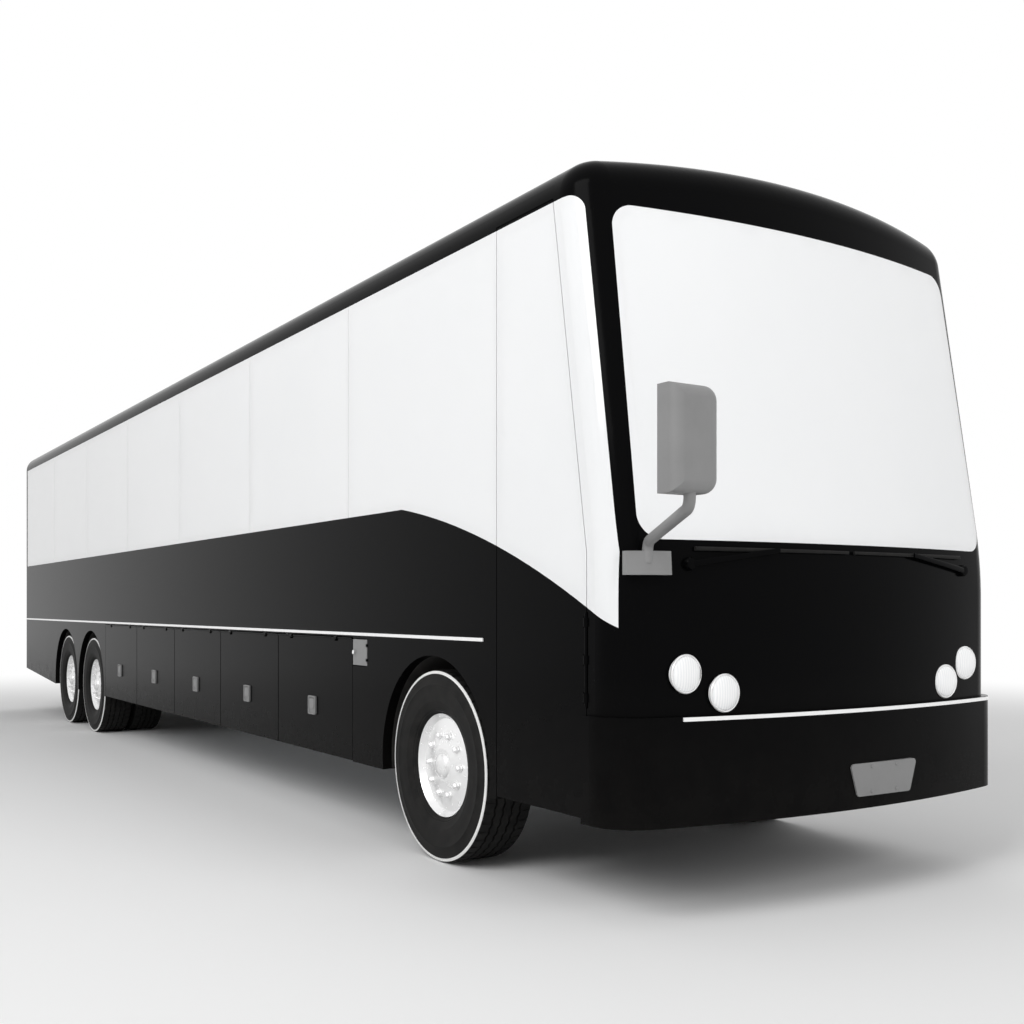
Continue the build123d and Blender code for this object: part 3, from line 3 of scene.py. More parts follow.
import bmesh
import bpy
import numpy as np
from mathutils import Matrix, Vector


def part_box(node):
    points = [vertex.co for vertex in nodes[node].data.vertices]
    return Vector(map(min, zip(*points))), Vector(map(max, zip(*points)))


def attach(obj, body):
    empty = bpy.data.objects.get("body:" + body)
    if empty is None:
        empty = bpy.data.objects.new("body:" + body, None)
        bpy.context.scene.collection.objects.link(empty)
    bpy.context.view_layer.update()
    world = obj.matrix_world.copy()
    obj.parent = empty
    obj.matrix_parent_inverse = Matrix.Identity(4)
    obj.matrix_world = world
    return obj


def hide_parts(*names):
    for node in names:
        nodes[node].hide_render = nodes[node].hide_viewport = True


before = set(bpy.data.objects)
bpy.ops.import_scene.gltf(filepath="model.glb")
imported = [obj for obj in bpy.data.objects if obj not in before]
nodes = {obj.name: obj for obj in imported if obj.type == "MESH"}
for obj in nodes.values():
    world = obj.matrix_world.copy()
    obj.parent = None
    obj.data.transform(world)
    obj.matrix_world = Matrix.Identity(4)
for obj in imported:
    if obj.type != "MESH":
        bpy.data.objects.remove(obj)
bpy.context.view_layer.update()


# Rails, axles, knuckles and engine: welded and forged steel under satin black chassis paint, bolted
# below the floor. Road film dulls them and browns them in patches.
class Wire:
    """A socket of a material's node tree; sums, products and powers of it add Math nodes."""

    def __init__(self, tree, socket=None):
        self.tree = tree
        self.socket = socket

    def node(self, kind, settings=None, out=0, **sockets):
        """Adds a node of that kind, its settings first, then its sockets, and gives one of its outputs."""
        made = self.tree.nodes.new(kind)
        for key, value in (settings or {}).items():
            if key == "stops":
                while len(made.color_ramp.elements) < len(value):
                    made.color_ramp.elements.new(1.0)
                for stop, (at, colour) in zip(made.color_ramp.elements, value):
                    stop.position = at
                    stop.color = (*colour, 1.0)
            elif key == "interpolation":
                made.color_ramp.interpolation = value
            else:
                setattr(made, key, value)
        for key, value in sockets.items():
            socket = next(s for s in made.inputs if key in (s.identifier, s.name.replace(" ", "_")))
            if isinstance(value, Wire):
                self.tree.links.new(value.socket, socket)
            elif hasattr(value, "__len__") and socket.type == "RGBA":
                socket.default_value = (*value, 1.0)[:4]
            else:
                socket.default_value = value
        outlet = out if isinstance(out, int) else [s.identifier for s in made.outputs].index(out)
        return Wire(self.tree, made.outputs[outlet])

    def into(self, shader, name):
        """Feeds this socket into a named socket of a shader."""
        self.tree.links.new(self.socket, shader.inputs[name])

    def combine(self, operation, first, second=0.0):
        """One Math node on two values or sockets."""
        return self.node("ShaderNodeMath", {"operation": operation}, Value=first, Value_001=second)

    def vector(self, operation, out, other=(0, 0, 0)):
        """One Vector Math node on this socket and a vector."""
        return self.node("ShaderNodeVectorMath", {"operation": operation}, out, Vector=self, Vector_001=other)

    def blend(self, first, second):
        """Colour that goes from first to second as this socket goes from 0 to 1."""
        ends = {"A_Color": first, "B_Color": second}
        return self.node("ShaderNodeMix", {"data_type": "RGBA"}, "Result_Color", Factor_Float=self, **ends)

    def __add__(self, other):
        return self.combine("ADD", self, other)

    def __sub__(self, other):
        return self.combine("SUBTRACT", self, other)

    def __rsub__(self, other):
        return self.combine("SUBTRACT", other, self)

    def __mul__(self, other):
        return self.combine("MULTIPLY", self, other)

    def __pow__(self, other):
        return self.combine("POWER", self, other)

    __radd__ = __add__
    __rmul__ = __mul__


def finish(name, **constants):
    """New material, its shader with the constants set on its own sockets, and the place on the object."""
    material = bpy.data.materials.new(name)
    material.use_nodes = True
    shader = material.node_tree.nodes["Principled BSDF"]
    for key, value in constants.items():
        socket = shader.inputs[key.replace("_", " ")]
        socket.default_value = (*value, 1.0) if socket.type == "RGBA" else value
    place = Wire(material.node_tree).node("ShaderNodeTexCoord", out="Object")
    return material, shader, place


def grain(place, scale, detail=4.0, rough=0.55):
    """Fractal noise over the object, in cycles a metre."""
    noise = {"Scale": scale, "Detail": detail, "Roughness": rough}
    return place.node("ShaderNodeTexNoise", None, "Fac", Vector=place, **noise)


def relief(height, distance, strength=1.0):
    """Bump of a given height in metres."""
    return height.node("ShaderNodeBump", None, "Normal", Height=height, Distance=distance, Strength=strength)


def dress(material, *names):
    """Puts a finish on CAD nodes in place of the one that they were packed with."""
    for name in names:
        nodes[name].data.materials.clear()
        nodes[name].data.materials.append(material)


chassis_paint, shader, place = finish("chassis_paint")
film = grain(place, 4.0, 7.0)
(film * 1.6 - 0.35).blend((0.012, 0.012, 0.013), (0.060, 0.052, 0.044)).into(shader, "Base Color")
(film * 0.45 + 0.30).into(shader, "Roughness")
relief(grain(place, 220.0, 2.0), 0.0008, 0.5).into(shader, "Normal")
dress(chassis_paint, "subframes", "front_axle_beam", "rear_axles", "engine_block")
dress(chassis_paint, "knuckle_left", "knuckle_right")


# Air bellows: moulded black rubber in two lobes between the axle seats and the rails, with fine
# mould rings and a bloom of dust.
def bands(place, direction, scale):
    """Sine bands across one direction of the object, each 0.314 m divided by scale."""
    across = {"wave_type": "BANDS", "bands_direction": direction}
    return place.node("ShaderNodeTexWave", across, "Fac", Vector=place, Scale=scale)


bellows_rubber, shader, place = finish("bellows_rubber")
bloom = grain(place, 18.0, 5.0)
(bloom * 1.3 - 0.3).blend((0.010, 0.010, 0.010), (0.034, 0.033, 0.031)).into(shader, "Base Color")
(bloom * 0.2 + 0.62).into(shader, "Roughness")
relief(bands(place, "Z", 26.0), 0.0012, 0.6).into(shader, "Normal")
dress(bellows_rubber, "air_bellows")

# Wheels: forged aluminium discs, polished almost white, each held by ten nuts round a domed hub cover.
# The lathe leaves faint rings about the axle.
WHEEL_ROWS = ("front", "drive", "tag")
WHEEL_SIDES = (("left", 1.0), ("right", -1.0))
STUD_CIRCLE_R = 0.1675
STUD_COUNT = 10
NUT_SEAT = 0.097
HUB_COVER_SEAT = 0.111
CAP_SCREW_CIRCLE_R = 0.060
CAP_SCREW_SEAT = 0.128
LATHE_RINGS = 2400.0
TYRE_HALF = 0.1575
MERGE_WITHIN = 2e-6
SLIVER = 1e-7


def axle_end(row, side):
    """Middle of a row's outer tyre: the tyre's box gives its height and length, the wheel's face its side."""
    low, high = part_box(f"tyre_{row}_{side}")
    middle = np.array((low + high) / 2)
    outer = high.y if side == "left" else low.y
    middle[1] = outer - math.copysign(TYRE_HALF, outer)
    return middle


def quads(rows, columns, around_rows, around_columns):
    """Corners of the faces of a grid; a direction that goes around joins its last line to its first."""
    i = np.arange(rows if around_rows else rows - 1)[:, None]
    j = np.arange(columns if around_columns else columns - 1)[None, :]
    below, beside = (i + 1) % rows, (j + 1) % columns
    corners = (i * columns + j, below * columns + j, below * columns + beside, i * columns + beside)
    return np.stack(np.broadcast_arrays(*corners), -1).reshape(-1, 4)


def piece(name, grids, material, body, around=(False, True), sharp=32.0):
    """One mesh from grids of points, each an array that ends in rows, columns and xyz; any indices
    before those count copies. Poles and seams are merged and the faces turned outwards."""
    points, faces = [], []
    start = 0
    for grid in grids:
        rows, columns = grid.shape[-3:-1]
        copies = grid.reshape(-1, rows * columns, 3)
        one = quads(rows, columns, *around)
        every = one[None] + (np.arange(len(copies)) * rows * columns)[:, None, None] + start
        points.append(copies.reshape(-1, 3))
        faces.append(every.reshape(-1, 4))
        start += copies.shape[0] * rows * columns
    mesh = bpy.data.meshes.new(name)
    mesh.from_pydata(np.concatenate(points), [], np.concatenate(faces))
    shell = bmesh.new()
    shell.from_mesh(mesh)
    bmesh.ops.remove_doubles(shell, verts=shell.verts, dist=MERGE_WITHIN)
    bmesh.ops.dissolve_degenerate(shell, edges=shell.edges, dist=SLIVER)
    bmesh.ops.recalc_face_normals(shell, faces=shell.faces)
    shell.to_mesh(mesh)
    shell.free()
    mesh.polygons.foreach_set("use_smooth", np.ones(len(mesh.polygons), bool))
    mesh.set_sharp_from_angle(angle=math.radians(sharp))
    made = bpy.data.objects.new(name, mesh)
    bpy.context.scene.collection.objects.link(made)
    for coat in material if isinstance(material, tuple) else (material,):
        mesh.materials.append(coat)
    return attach(made, body)


def turned(profile, steps):
    """Profile of (radius, offset) pairs turned about the Y axis: x = r cos t, y = offset, z = r sin t."""
    profile = np.array(profile)
    t = np.linspace(0, 2 * np.pi, steps, endpoint=False)
    r, y = profile[:, 0][:, None], profile[:, 1][:, None]
    return np.stack(np.broadcast_arrays(r * np.cos(t), y + 0 * t, r * np.sin(t)), -1)


wheel_polish, shader, place = finish("wheel_polish", Metallic=0.35, Coat_Weight=0.3)
radius = None
for row in WHEEL_ROWS:
    hub = axle_end(row, "left")
    across = place.vector("SUBTRACT", "Vector", (hub[0], 0, hub[2]))
    away = across.vector("MULTIPLY", "Vector", (1, 0, 1)).vector("LENGTH", "Value")
    radius = away if radius is None else radius.combine("MINIMUM", radius, away)
turning = radius.combine("SINE", radius * LATHE_RINGS)
smear = grain(place, 30.0, 3.0)
smear.blend((0.86, 0.86, 0.86), (0.93, 0.93, 0.93)).into(shader, "Base Color")
(smear * 0.18 + 0.16).into(shader, "Roughness")
relief(turning, 0.00004, 0.5).into(shader, "Normal")

nut = [(0.0, 0.0), (0.023, 0.0), (0.023, 0.004), (0.0175, 0.005), (0.0175, 0.022)]
nut = turned([*nut, (0.012, 0.028), (0.0, 0.030)], 6)
hub_cover = [(0.0, 0.030), (0.030, 0.029), (0.055, 0.022), (0.068, 0.010), (0.072, 0.0), (0.0, -0.002)]
hub_cover = turned(hub_cover, 48)
cap_screw = turned([(0.0, 0.0), (0.006, 0.0), (0.006, 0.005), (0.0, 0.006)], 6)
studs = turned([(STUD_CIRCLE_R, NUT_SEAT)], STUD_COUNT)[0, :, None, None, :]
screws = turned([(CAP_SCREW_CIRCLE_R, CAP_SCREW_SEAT)], STUD_COUNT)[0, ::2, None, None, :]
for row in WHEEL_ROWS:
    for side, sign in WHEEL_SIDES:
        outward = np.array((1.0, sign, 1.0))
        hub = axle_end(row, side)
        fittings = (nut + studs, hub_cover + (0, HUB_COVER_SEAT, 0), cap_screw + screws)
        grids = [fitting * outward + hub for fitting in fittings]
        nuts = piece(f"wheel_nuts_{row}_{side}", grids, wheel_polish, f"wheel_{row}_{side}")
        dress(wheel_polish, f"wheel_{row}_{side}")

# Tyres: black rubber casings with five ribs, zigzag grooves, cut shoulders and a bulged side wall.
# A narrow band with a small moulded lip runs round the outer shoulder; its near-white colour is a painted
# highlight along the tyre's edge.
TYRE_R = 0.530
PITCHES = 54
GROOVE_Y = np.array((-0.078, -0.027, 0.027, 0.078))
GROOVE_HALF = 0.0055
GROOVE_DEPTH = 0.013
GROOVE_LEAN = 0.0015
ZIGZAG = 0.0045
TREAD_HALF = 0.1240
ZIGZAG_WITHIN = 0.1
TREAD_FROM_R = 0.5
SHOULDER_CUT = 0.007
SHOULDER_FROM = 0.115
SHOULDER_FROM_R = 0.526
CUT_SHARE = (0.63, 0.96)
TWIN_PITCH = 0.350
# Radii and inner offset of the band that carries the painted highlight on the outer shoulder.
BAND = (0.508, 0.524)
BAND_LIP = 0.001
BAND_INNER = 0.140


def tyre_casing(twins):
    """Closed section of (radius, offset) points turned about Y. On the tread the offset gains a
    triangle wave of the angle, so the grooves zigzag, and the shoulder's radius drops in each cut."""
    wall = np.array(
        [
            (0.2870, 0.108), (0.2960, 0.120), (0.3040, 0.131), (0.3100, 0.132), (0.3140, 0.137),
            (0.3500, 0.151), (0.3560, 0.1535), (0.3620, 0.1535), (0.3680, 0.1545), (0.4050, 0.1575),
            (0.4400, 0.1570), (0.4440, 0.1585), (0.4500, 0.1585), (0.4540, 0.1560), (0.4850, 0.1525),
            (0.5000, 0.1495), (BAND[0], 0.1478), (BAND[0] + BAND_LIP, 0.1496), (BAND[1] - BAND_LIP, 0.1456),
            (BAND[1], 0.1425), (0.5285, 0.1335),
        ]
    )
    ribs = [(TYRE_R, TREAD_HALF)]
    for y in GROOVE_Y[::-1]:
        ribs += [
            (TYRE_R, y + GROOVE_HALF + GROOVE_LEAN),
            (TYRE_R - GROOVE_DEPTH, y + GROOVE_HALF - GROOVE_LEAN),
            (TYRE_R - GROOVE_DEPTH, y - GROOVE_HALF + GROOVE_LEAN),
            (TYRE_R, y - GROOVE_HALF - GROOVE_LEAN),
        ]
    ribs.append((TYRE_R, -TREAD_HALF))
    section = np.concatenate((wall, ribs, wall[::-1] * (1, -1)))
    r, y = section[:, 0][:, None], section[:, 1][:, None]
    step = (np.arange(PITCHES)[:, None] + np.array((0.0, 0.25, 0.5, 0.62, 0.66, 0.94, 0.98))).ravel()
    t = step / PITCHES * 2 * np.pi
    wave = ZIGZAG * (4 * np.abs(step % 1 - 0.5) - 1)
    on_tread = (np.abs(y) < ZIGZAG_WITHIN) & (r > TREAD_FROM_R)
    cut = ((step % 1 > CUT_SHARE[0]) & (step % 1 < CUT_SHARE[1])) * SHOULDER_CUT
    on_shoulder = (np.abs(y) > SHOULDER_FROM) & (r > SHOULDER_FROM_R)
    radius = r - cut * on_shoulder + 0 * t
    offset = y + wave * on_tread
    casing = np.stack((radius * np.cos(t), offset, radius * np.sin(t)), -1)
    return np.stack([casing - (0, i * TWIN_PITCH, 0) for i in range(twins)])


def tyre_finish(name, low, high, rough):
    """Rubber with dust in its pores and fine mould marks."""
    rubber, shader, place = finish(name, Specular_IOR_Level=0.12)
    dust = grain(place, 14.0, 6.0)
    (dust * 1.5 - 0.4).blend(low, high).into(shader, "Base Color")
    (dust * 0.2 + rough).into(shader, "Roughness")
    relief(grain(place, 400.0, 2.0), 0.0004, 0.5).into(shader, "Normal")
    return rubber


tyre_rubber = tyre_finish("tyre_rubber", (0.006, 0.006, 0.006), (0.022, 0.021, 0.020), 0.55)
# Near-white colour: a painted highlight along the tyre's outer shoulder edge, not a white rubber; the casing
# is black.
white_band = tyre_finish("white_band", (0.80, 0.80, 0.79), (0.88, 0.88, 0.87), 0.45)
rubbers = (tyre_rubber, white_band)
for row in WHEEL_ROWS:
    casing = tyre_casing(2 if row == "drive" else 1)
    for side, sign in WHEEL_SIDES:
        hub = axle_end(row, side)
        grids = [casing * (1.0, sign, 1.0) + hub]
        tyre = piece(f"tyre_cover_{row}_{side}", grids, rubbers, f"wheel_{row}_{side}", (True, True), 28.0)
        middles = np.empty(3 * len(tyre.data.polygons))
        tyre.data.polygons.foreach_get("center", middles)
        x, y, z = (middles.reshape(-1, 3) - hub).T
        away = np.hypot(x, z)
        # Faces of the band on the outer shoulder take the painted highlight material.
        painted_highlight_faces = (y * sign > BAND_INNER) & (away > BAND[0]) & (away < BAND[1])
        tyre.data.polygons.foreach_set("material_index", painted_highlight_faces.astype(np.int32))
        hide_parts(f"tyre_{row}_{side}")

# Wheel housings: liners of pressed black plastic over the wheels, riveted to the body's frame. They
# are matte, and grey in patches with the grit that the tyres throw.
liner_plastic, shader, place = finish("liner_plastic")
grit = grain(place, 9.0, 8.0, 0.7)
(grit * 1.8 - 0.6).blend((0.010, 0.010, 0.010), (0.055, 0.050, 0.044)).into(shader, "Base Color")
(grit * 0.25 + 0.6).into(shader, "Roughness")
relief(grain(place, 90.0, 4.0), 0.002, 0.6).into(shader, "Normal")
dress(liner_plastic, "wheel_housings")

# Luggage deck and bulkheads: aluminium sheet, rolled with a raised bar pattern, folded at its edges
# and riveted between the side walls. Suitcases scuff it.
deck_sheet, shader, place = finish("deck_sheet", Metallic=0.85)
scuff = grain(place, 6.0, 7.0)
(scuff * 1.4 - 0.2).blend((0.30, 0.31, 0.32), (0.52, 0.53, 0.54)).into(shader, "Base Color")
(scuff * 0.3 + 0.28).into(shader, "Roughness")
relief(bands(place, "DIAGONAL", 22.0) ** 4.0, 0.0015, 0.7).into(shader, "Normal")
dress(deck_sheet, "luggage_deck", "luggage_bulkheads")

# Cabin floor and entry steps: plywood on steel, covered in dark vinyl with fine ribs along the coach.
# The vinyl is glued down, and shoes wear it paler and duller in patches.
floor_vinyl, shader, place = finish("floor_vinyl")
tread_wear = grain(place, 3.0, 6.0)
(tread_wear * 1.5 - 0.3).blend((0.030, 0.030, 0.034), (0.075, 0.075, 0.080)).into(shader, "Base Color")
(tread_wear * 0.2 + 0.42).into(shader, "Roughness")
relief(bands(place, "Y", 18.0), 0.0015, 0.6).into(shader, "Normal")
dress(floor_vinyl, "cabin_floor", "entry_steps")

# Body panels: aluminium and glass fibre in deep black paint under clear lacquer, bonded to the frame
# and split where the real panels meet. The lacquer has a slight orange peel; dust clings low down.
DUST = (1.1, 0.35)
black_paint, shader, place = finish("black_paint", Specular_IOR_Level=0.025)
height = place.node("ShaderNodeSeparateXYZ", None, "Z", Vector=place)
low_down = place.node("ShaderNodeMapRange", None, "Result", Value=height, From_Min=DUST[0], From_Max=DUST[1])
dust = low_down * grain(place, 7.0, 8.0, 0.65)
(dust * 0.35).blend((0.0020, 0.0020, 0.0022), (0.022, 0.020, 0.018)).into(shader, "Base Color")
(dust * 0.30 + 0.16).into(shader, "Roughness")
relief(grain(place, 130.0, 1.0), 0.00012, 0.35).into(shader, "Normal")
PANELS = ["front_cap", "front_bumper", "side_wall_right", "side_wall_left", "rear_cap"]
LUGGAGE_DOORS = [f"luggage_door_{side}_{n}" for side in ("right", "left") for n in range(1, 6)]
dress(black_paint, *PANELS, "roof_panel", "roof_hatches", "entry_door", "engine_door", *LUGGAGE_DOORS)

# Glass: laminated sheets bonded flush into the body. Its near-white, nearly opaque colour is a painted
# reflection of the bright sky that hides most of the cabin, so the whole band reads as one white surface.
pale_glass, shader, place = finish("pale_glass", Alpha=0.86, Coat_Weight=0.25)
painted_reflection_mottle = grain(place, 0.9, 3.0)
# Near-white base colour: a painted reflection of the bright sky, mottled a little by noise.
painted_reflection_mottle.blend((0.90, 0.91, 0.92), (0.95, 0.955, 0.96)).into(shader, "Base Color")
(grain(place, 2.5, 4.0) * 0.08 + 0.04).into(shader, "Roughness")
dress(pale_glass, "windscreen", "cabin_glass", "entry_door_glass")

# Luggage door latches: moulded grey plastic paddles in square dishes, pressed into a pocket in the
# middle of each door. A hand pulls the paddle from below.
LATCH = (0.117, 0.125)
LATCH_Z = 0.750
LATCH_POCKET = 0.012
PADDLE = (0.074, 0.070)
PADDLE_RISE = 0.010


def rounded_outline(width, height, corner, steps):
    """Rounded rectangle about the origin: the corner circles' centres plus corner times (cos t, sin t)."""
    t = np.linspace(0, 2 * np.pi, 4 * steps, endpoint=False) + np.pi / (4 * steps)
    centre_x = np.sign(np.cos(t)) * (width / 2 - corner)
    centre_z = np.sign(np.sin(t)) * (height / 2 - corner)
    return centre_x + corner * np.cos(t), centre_z + corner * np.sin(t)


def moulding(width, height, corner, levels, steps=5):
    """Rows of rounded rectangles in XZ, one for each level of (inset, stand-off along -Y)."""
    rows = []
    for inset, stand in levels:
        w, h = max(width - 2 * inset, 1e-4), max(height - 2 * inset, 1e-4)
        x, z = rounded_outline(w, h, min(max(corner - inset, 1e-4), w / 2.01, h / 2.01), steps)
        rows.append(np.stack((x, 0 * x - stand, z), -1))
    return np.stack(rows)


def plastic(name, dark, light, rough):
    """Moulded plastic: a spark grain in the bump and slow patches in its colour and gloss."""
    made, shader, place = finish(name)
    fade = grain(place, 8.0, 4.0)
    fade.blend(dark, light).into(shader, "Base Color")
    (fade * 0.15 + rough).into(shader, "Roughness")
    relief(grain(place, 900.0, 1.0), 0.0002, 0.5).into(shader, "Normal")
    return made


grey_plastic = plastic("grey_plastic", (0.190, 0.190, 0.190), (0.235, 0.235, 0.235), 0.38)
dark_plastic = plastic("dark_plastic", (0.014, 0.014, 0.015), (0.024, 0.024, 0.025), 0.45)
dish = [(0.06, 0.0), (0.0, 0.0), (0.0, 0.012), (0.002, 0.014), (0.008, 0.014), (0.012, 0.004), (0.06, 0.004)]
dish = moulding(*LATCH, 0.012, dish)
paddle = [(0.035, 0.004), (0.0, 0.004), (0.0, 0.010), (0.003, 0.0125), (0.035, 0.0125)]
paddle = moulding(*PADDLE, 0.010, paddle) + (0, 0, PADDLE_RISE)
body_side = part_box("side_wall_left")[1].y
for name in LUGGAGE_DOORS:
    low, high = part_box(name)
    sign = 1.0 if "left" in name else -1.0
    centre = np.array(((low.x + high.x) / 2, sign * (body_side - LATCH_POCKET), LATCH_Z))
    grids = [grid * (1.0, -sign, 1.0) + centre for grid in (dish, paddle)]
    latch = piece(name.replace("luggage_door", "latch"), grids, grey_plastic, name)

# Fuel door: a flap of the same grey moulded plastic, flush with the side, on a hinge at its front
# edge. A small round lock of polished metal sits near its free edge.
LOCK_INSET = 0.030
dress(grey_plastic, "fuel_door")
low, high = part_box("fuel_door")
lock = turned([(0.0, 0.0), (0.013, 0.0), (0.013, 0.003), (0.010, 0.004), (0.009, 0.002), (0.0, 0.002)], 24)
lock = lock * (1, -1, 1) + (low.x + LOCK_INSET, -body_side, (low.z + high.z) / 2)
lock = piece("fuel_lock", [lock], wheel_polish, "fuel_door")

# Bright trim: strips of polished, near-white aluminium, one along each side over the luggage doors
# and one round the top of the bumper, pressed on and glued.
bright_strip, shader, place = finish("bright_strip", Metallic=0.2, Coat_Weight=0.3)
wiped = grain(place, 12.0, 3.0)
wiped.blend((0.86, 0.86, 0.86), (0.92, 0.92, 0.92)).into(shader, "Base Color")
(wiped * 0.1 + 0.18).into(shader, "Roughness")
dress(bright_strip, "bright_trim")

# Headlamps: round pods with a bright pressed ring, a clear fluted lens and a dark bucket behind, let
# into the nose from the front, two on each side.
HEADLAMPS = ((0.970, 1.112), (0.770, 1.022))
NOSE_BOW_R = 5.5
lamp_lens, shader, place = finish("lamp_lens", Coat_Weight=0.6)
flutes_and_painted_shade = bands(place, "Y", 22.0)
# Each flute's crest is painted lighter and its trough darker: a painted highlight and shade across the
# flutes, on top of their relief in the bump.
flutes_and_painted_shade.blend((0.86, 0.87, 0.88), (0.97, 0.97, 0.97)).into(shader, "Base Color")
(flutes_and_painted_shade * 0.06 + 0.05).into(shader, "Roughness")
relief(flutes_and_painted_shade, 0.001, 0.4).into(shader, "Normal")
dress(lamp_lens, "headlamps")
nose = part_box("front_cap")[1].x
ring = [(0.0815, -0.002), (0.087, 0.002), (0.088, 0.010), (0.084, 0.015), (0.0795, 0.012), (0.079, -0.002)]
dome = [(0.0795, 0.006), (0.074, 0.016), (0.060, 0.022), (0.040, 0.026), (0.020, 0.0275), (0.0, 0.028)]
bucket = [(0.0, -0.085), (0.030, -0.084), (0.060, -0.075), (0.074, -0.060), (0.0745, -0.0455), (0.0, -0.0455)]
seats = np.array([(sign * y, z) for y, z in HEADLAMPS for _, sign in WHEEL_SIDES])
seat_x = nose - NOSE_BOW_R + np.sqrt(NOSE_BOW_R**2 - seats[:, :1] ** 2)
seats = np.concatenate((seat_x, seats), -1)[:, None, None, :]
along_x = (1, 0, 2)
rings = piece("lamp_rings", [turned(ring, 64)[..., along_x] + seats], bright_strip, "root", (True, True))
domes = piece("lamp_domes", [turned(dome, 64)[..., along_x] + seats], lamp_lens, "root")
buckets = piece("lamp_buckets", [turned(bucket, 48)[..., along_x] + seats], dark_plastic, "root")

# Wipers: pressed steel arms and rubber blades, parked flat on the panel just below the windscreen.
# Each arm turns on a boss near the outer end of its blade.
WIPER_BOSS = (0.950, 1.600)
BLADE_Z = 1.668
BLADE_Y = (0.020, 0.920)
BLADE_STAND = 0.012
ARM_STAND = (0.020, 0.026)
SCREEN_BLEND_R = 2.5
BLEND_Z = 1.451


def on_nose(y, z, stand):
    """Points ahead of the nose by stand: its bow is a circle in plan, and it leans back along a circle
    from the height where the blend into the windscreen starts."""
    lean = np.maximum(z - BLEND_Z, 0.0) ** 2 / (2 * SCREEN_BLEND_R)
    bow = NOSE_BOW_R - np.sqrt(NOSE_BOW_R**2 - y**2)
    return np.stack(np.broadcast_arrays(nose - bow - lean + stand, y, z), -1)


def soft_section(width, height, power, steps):
    """Superellipse: width / 2 cos^p t and height / 2 sin^p t, each with its sign."""
    t = np.linspace(0, 2 * np.pi, steps, endpoint=False)
    c, n = np.cos(t), np.sin(t)
    return width / 2 * np.sign(c) * np.abs(c) ** power, height / 2 * np.sign(n) * np.abs(n) ** power


def rod(path, thick, tall, steps=16):
    """Superellipse of thick by tall carried along a path that runs mainly along Y; both ends close."""
    x, z = soft_section(1.0, 1.0, 0.7, steps)
    share = np.concatenate(((0.0,), np.ones(len(path)), (0.0,)))[:, None]
    path = np.concatenate((path[:1], path, path[-1:]))
    taper = np.linspace(1.0, 0.75, len(path))[:, None] * share
    return path[:, None, :] + np.stack((taper * thick * x, 0 * taper * x, taper * tall * z), -1)


along = np.linspace(0, 1, 25)
blade_y = BLADE_Y[1] + (BLADE_Y[0] - BLADE_Y[1]) * along
blade = rod(on_nose(blade_y, 0 * along + BLADE_Z, BLADE_STAND), 0.016, 0.020)
arm_y = WIPER_BOSS[0] + (sum(BLADE_Y) / 2 - WIPER_BOSS[0]) * along
arm_z = WIPER_BOSS[1] + (BLADE_Z - WIPER_BOSS[1]) * along
arm = rod(on_nose(arm_y, arm_z, ARM_STAND[0] + (ARM_STAND[1] - ARM_STAND[0]) * along), 0.012, 0.030)
boss = turned([(0.0, -0.002), (0.030, -0.002), (0.030, 0.016), (0.024, 0.026), (0.0, 0.028)], 32)
boss = boss[..., along_x] + on_nose(np.array(WIPER_BOSS[0]), np.array(WIPER_BOSS[1]), 0.0)
blades = piece("wiper_blades", [blade, blade * (1, -1, 1)], tyre_rubber, "root")
grids = [grid * (1, sign, 1) for grid in (arm, boss) for sign in (1, -1)]
arms = piece("wiper_arms", grids, black_paint, "root")

# Tail lamps: upright clusters behind one moulded lens, red above, amber in the middle, clear below,
# each in a dark plastic frame. A narrow stop lamp is screwed on above the rear window.
TAIL_LAMP = (0.130, 0.420)
FRAME_LIP = 0.013
STOP_LAMP = (0.420, 0.034)
STOP_LAMP_Z = 3.080


def facing_back(rows):
    """Turns what faces -Y to face -X: (x, y, z) goes to (y, -x, z)."""
    return np.stack((rows[..., 1], -rows[..., 0], rows[..., 2]), -1)


tail_lens, shader, place = finish("tail_lens", Coat_Weight=0.5)
height = place.node("ShaderNodeSeparateXYZ", None, "Z", Vector=place)
share = place.node("ShaderNodeMapRange", None, "Result", Value=height, From_Min=0.90, From_Max=1.32)
clear, amber, red = (0.75, 0.75, 0.75), (0.50, 0.16, 0.01), (0.38, 0.006, 0.006)
colours = {"stops": [(0.0, clear), (0.28, amber), (0.50, red), (1.0, red)], "interpolation": "CONSTANT"}
share.node("ShaderNodeValToRGB", colours, "Color", Fac=share).into(shader, "Base Color")
square = {"distance": "CHEBYCHEV"}
prisms = place.node("ShaderNodeTexVoronoi", square, "Distance", Vector=place, Scale=90.0, Randomness=0.0)
(prisms * 0.1 + 0.08).into(shader, "Roughness")
relief(prisms, 0.002, 0.6).into(shader, "Normal")
dress(tail_lens, "tail_lamps")
low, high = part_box("tail_lamps")
lip = [(FRAME_LIP, 0.0), (0.0, 0.0), (0.002, 0.008), (0.010, 0.009), (FRAME_LIP, 0.0)]
lip = moulding(TAIL_LAMP[0] + 2 * FRAME_LIP, TAIL_LAMP[1] + 2 * FRAME_LIP, 0.016, lip)
rear_face = low.x - 0.002
lamp_y, lamp_z = high.y - TAIL_LAMP[0] / 2, (low.z + high.z) / 2
surrounds = [facing_back(lip) + (rear_face, sign * lamp_y, lamp_z) for _, sign in WHEEL_SIDES]
surround = piece("tail_lamp_frames", surrounds, dark_plastic, "root")
bar = moulding(*STOP_LAMP, 0.010, [(0.016, 0.0), (0.0, 0.0), (0.0, 0.009), (0.004, 0.013), (0.016, 0.014)])
bar = facing_back(bar) + (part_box("rear_cap")[0].x, 0.0, STOP_LAMP_Z)
stop_lamp = piece("stop_lamp", [bar], tail_lens, "root")

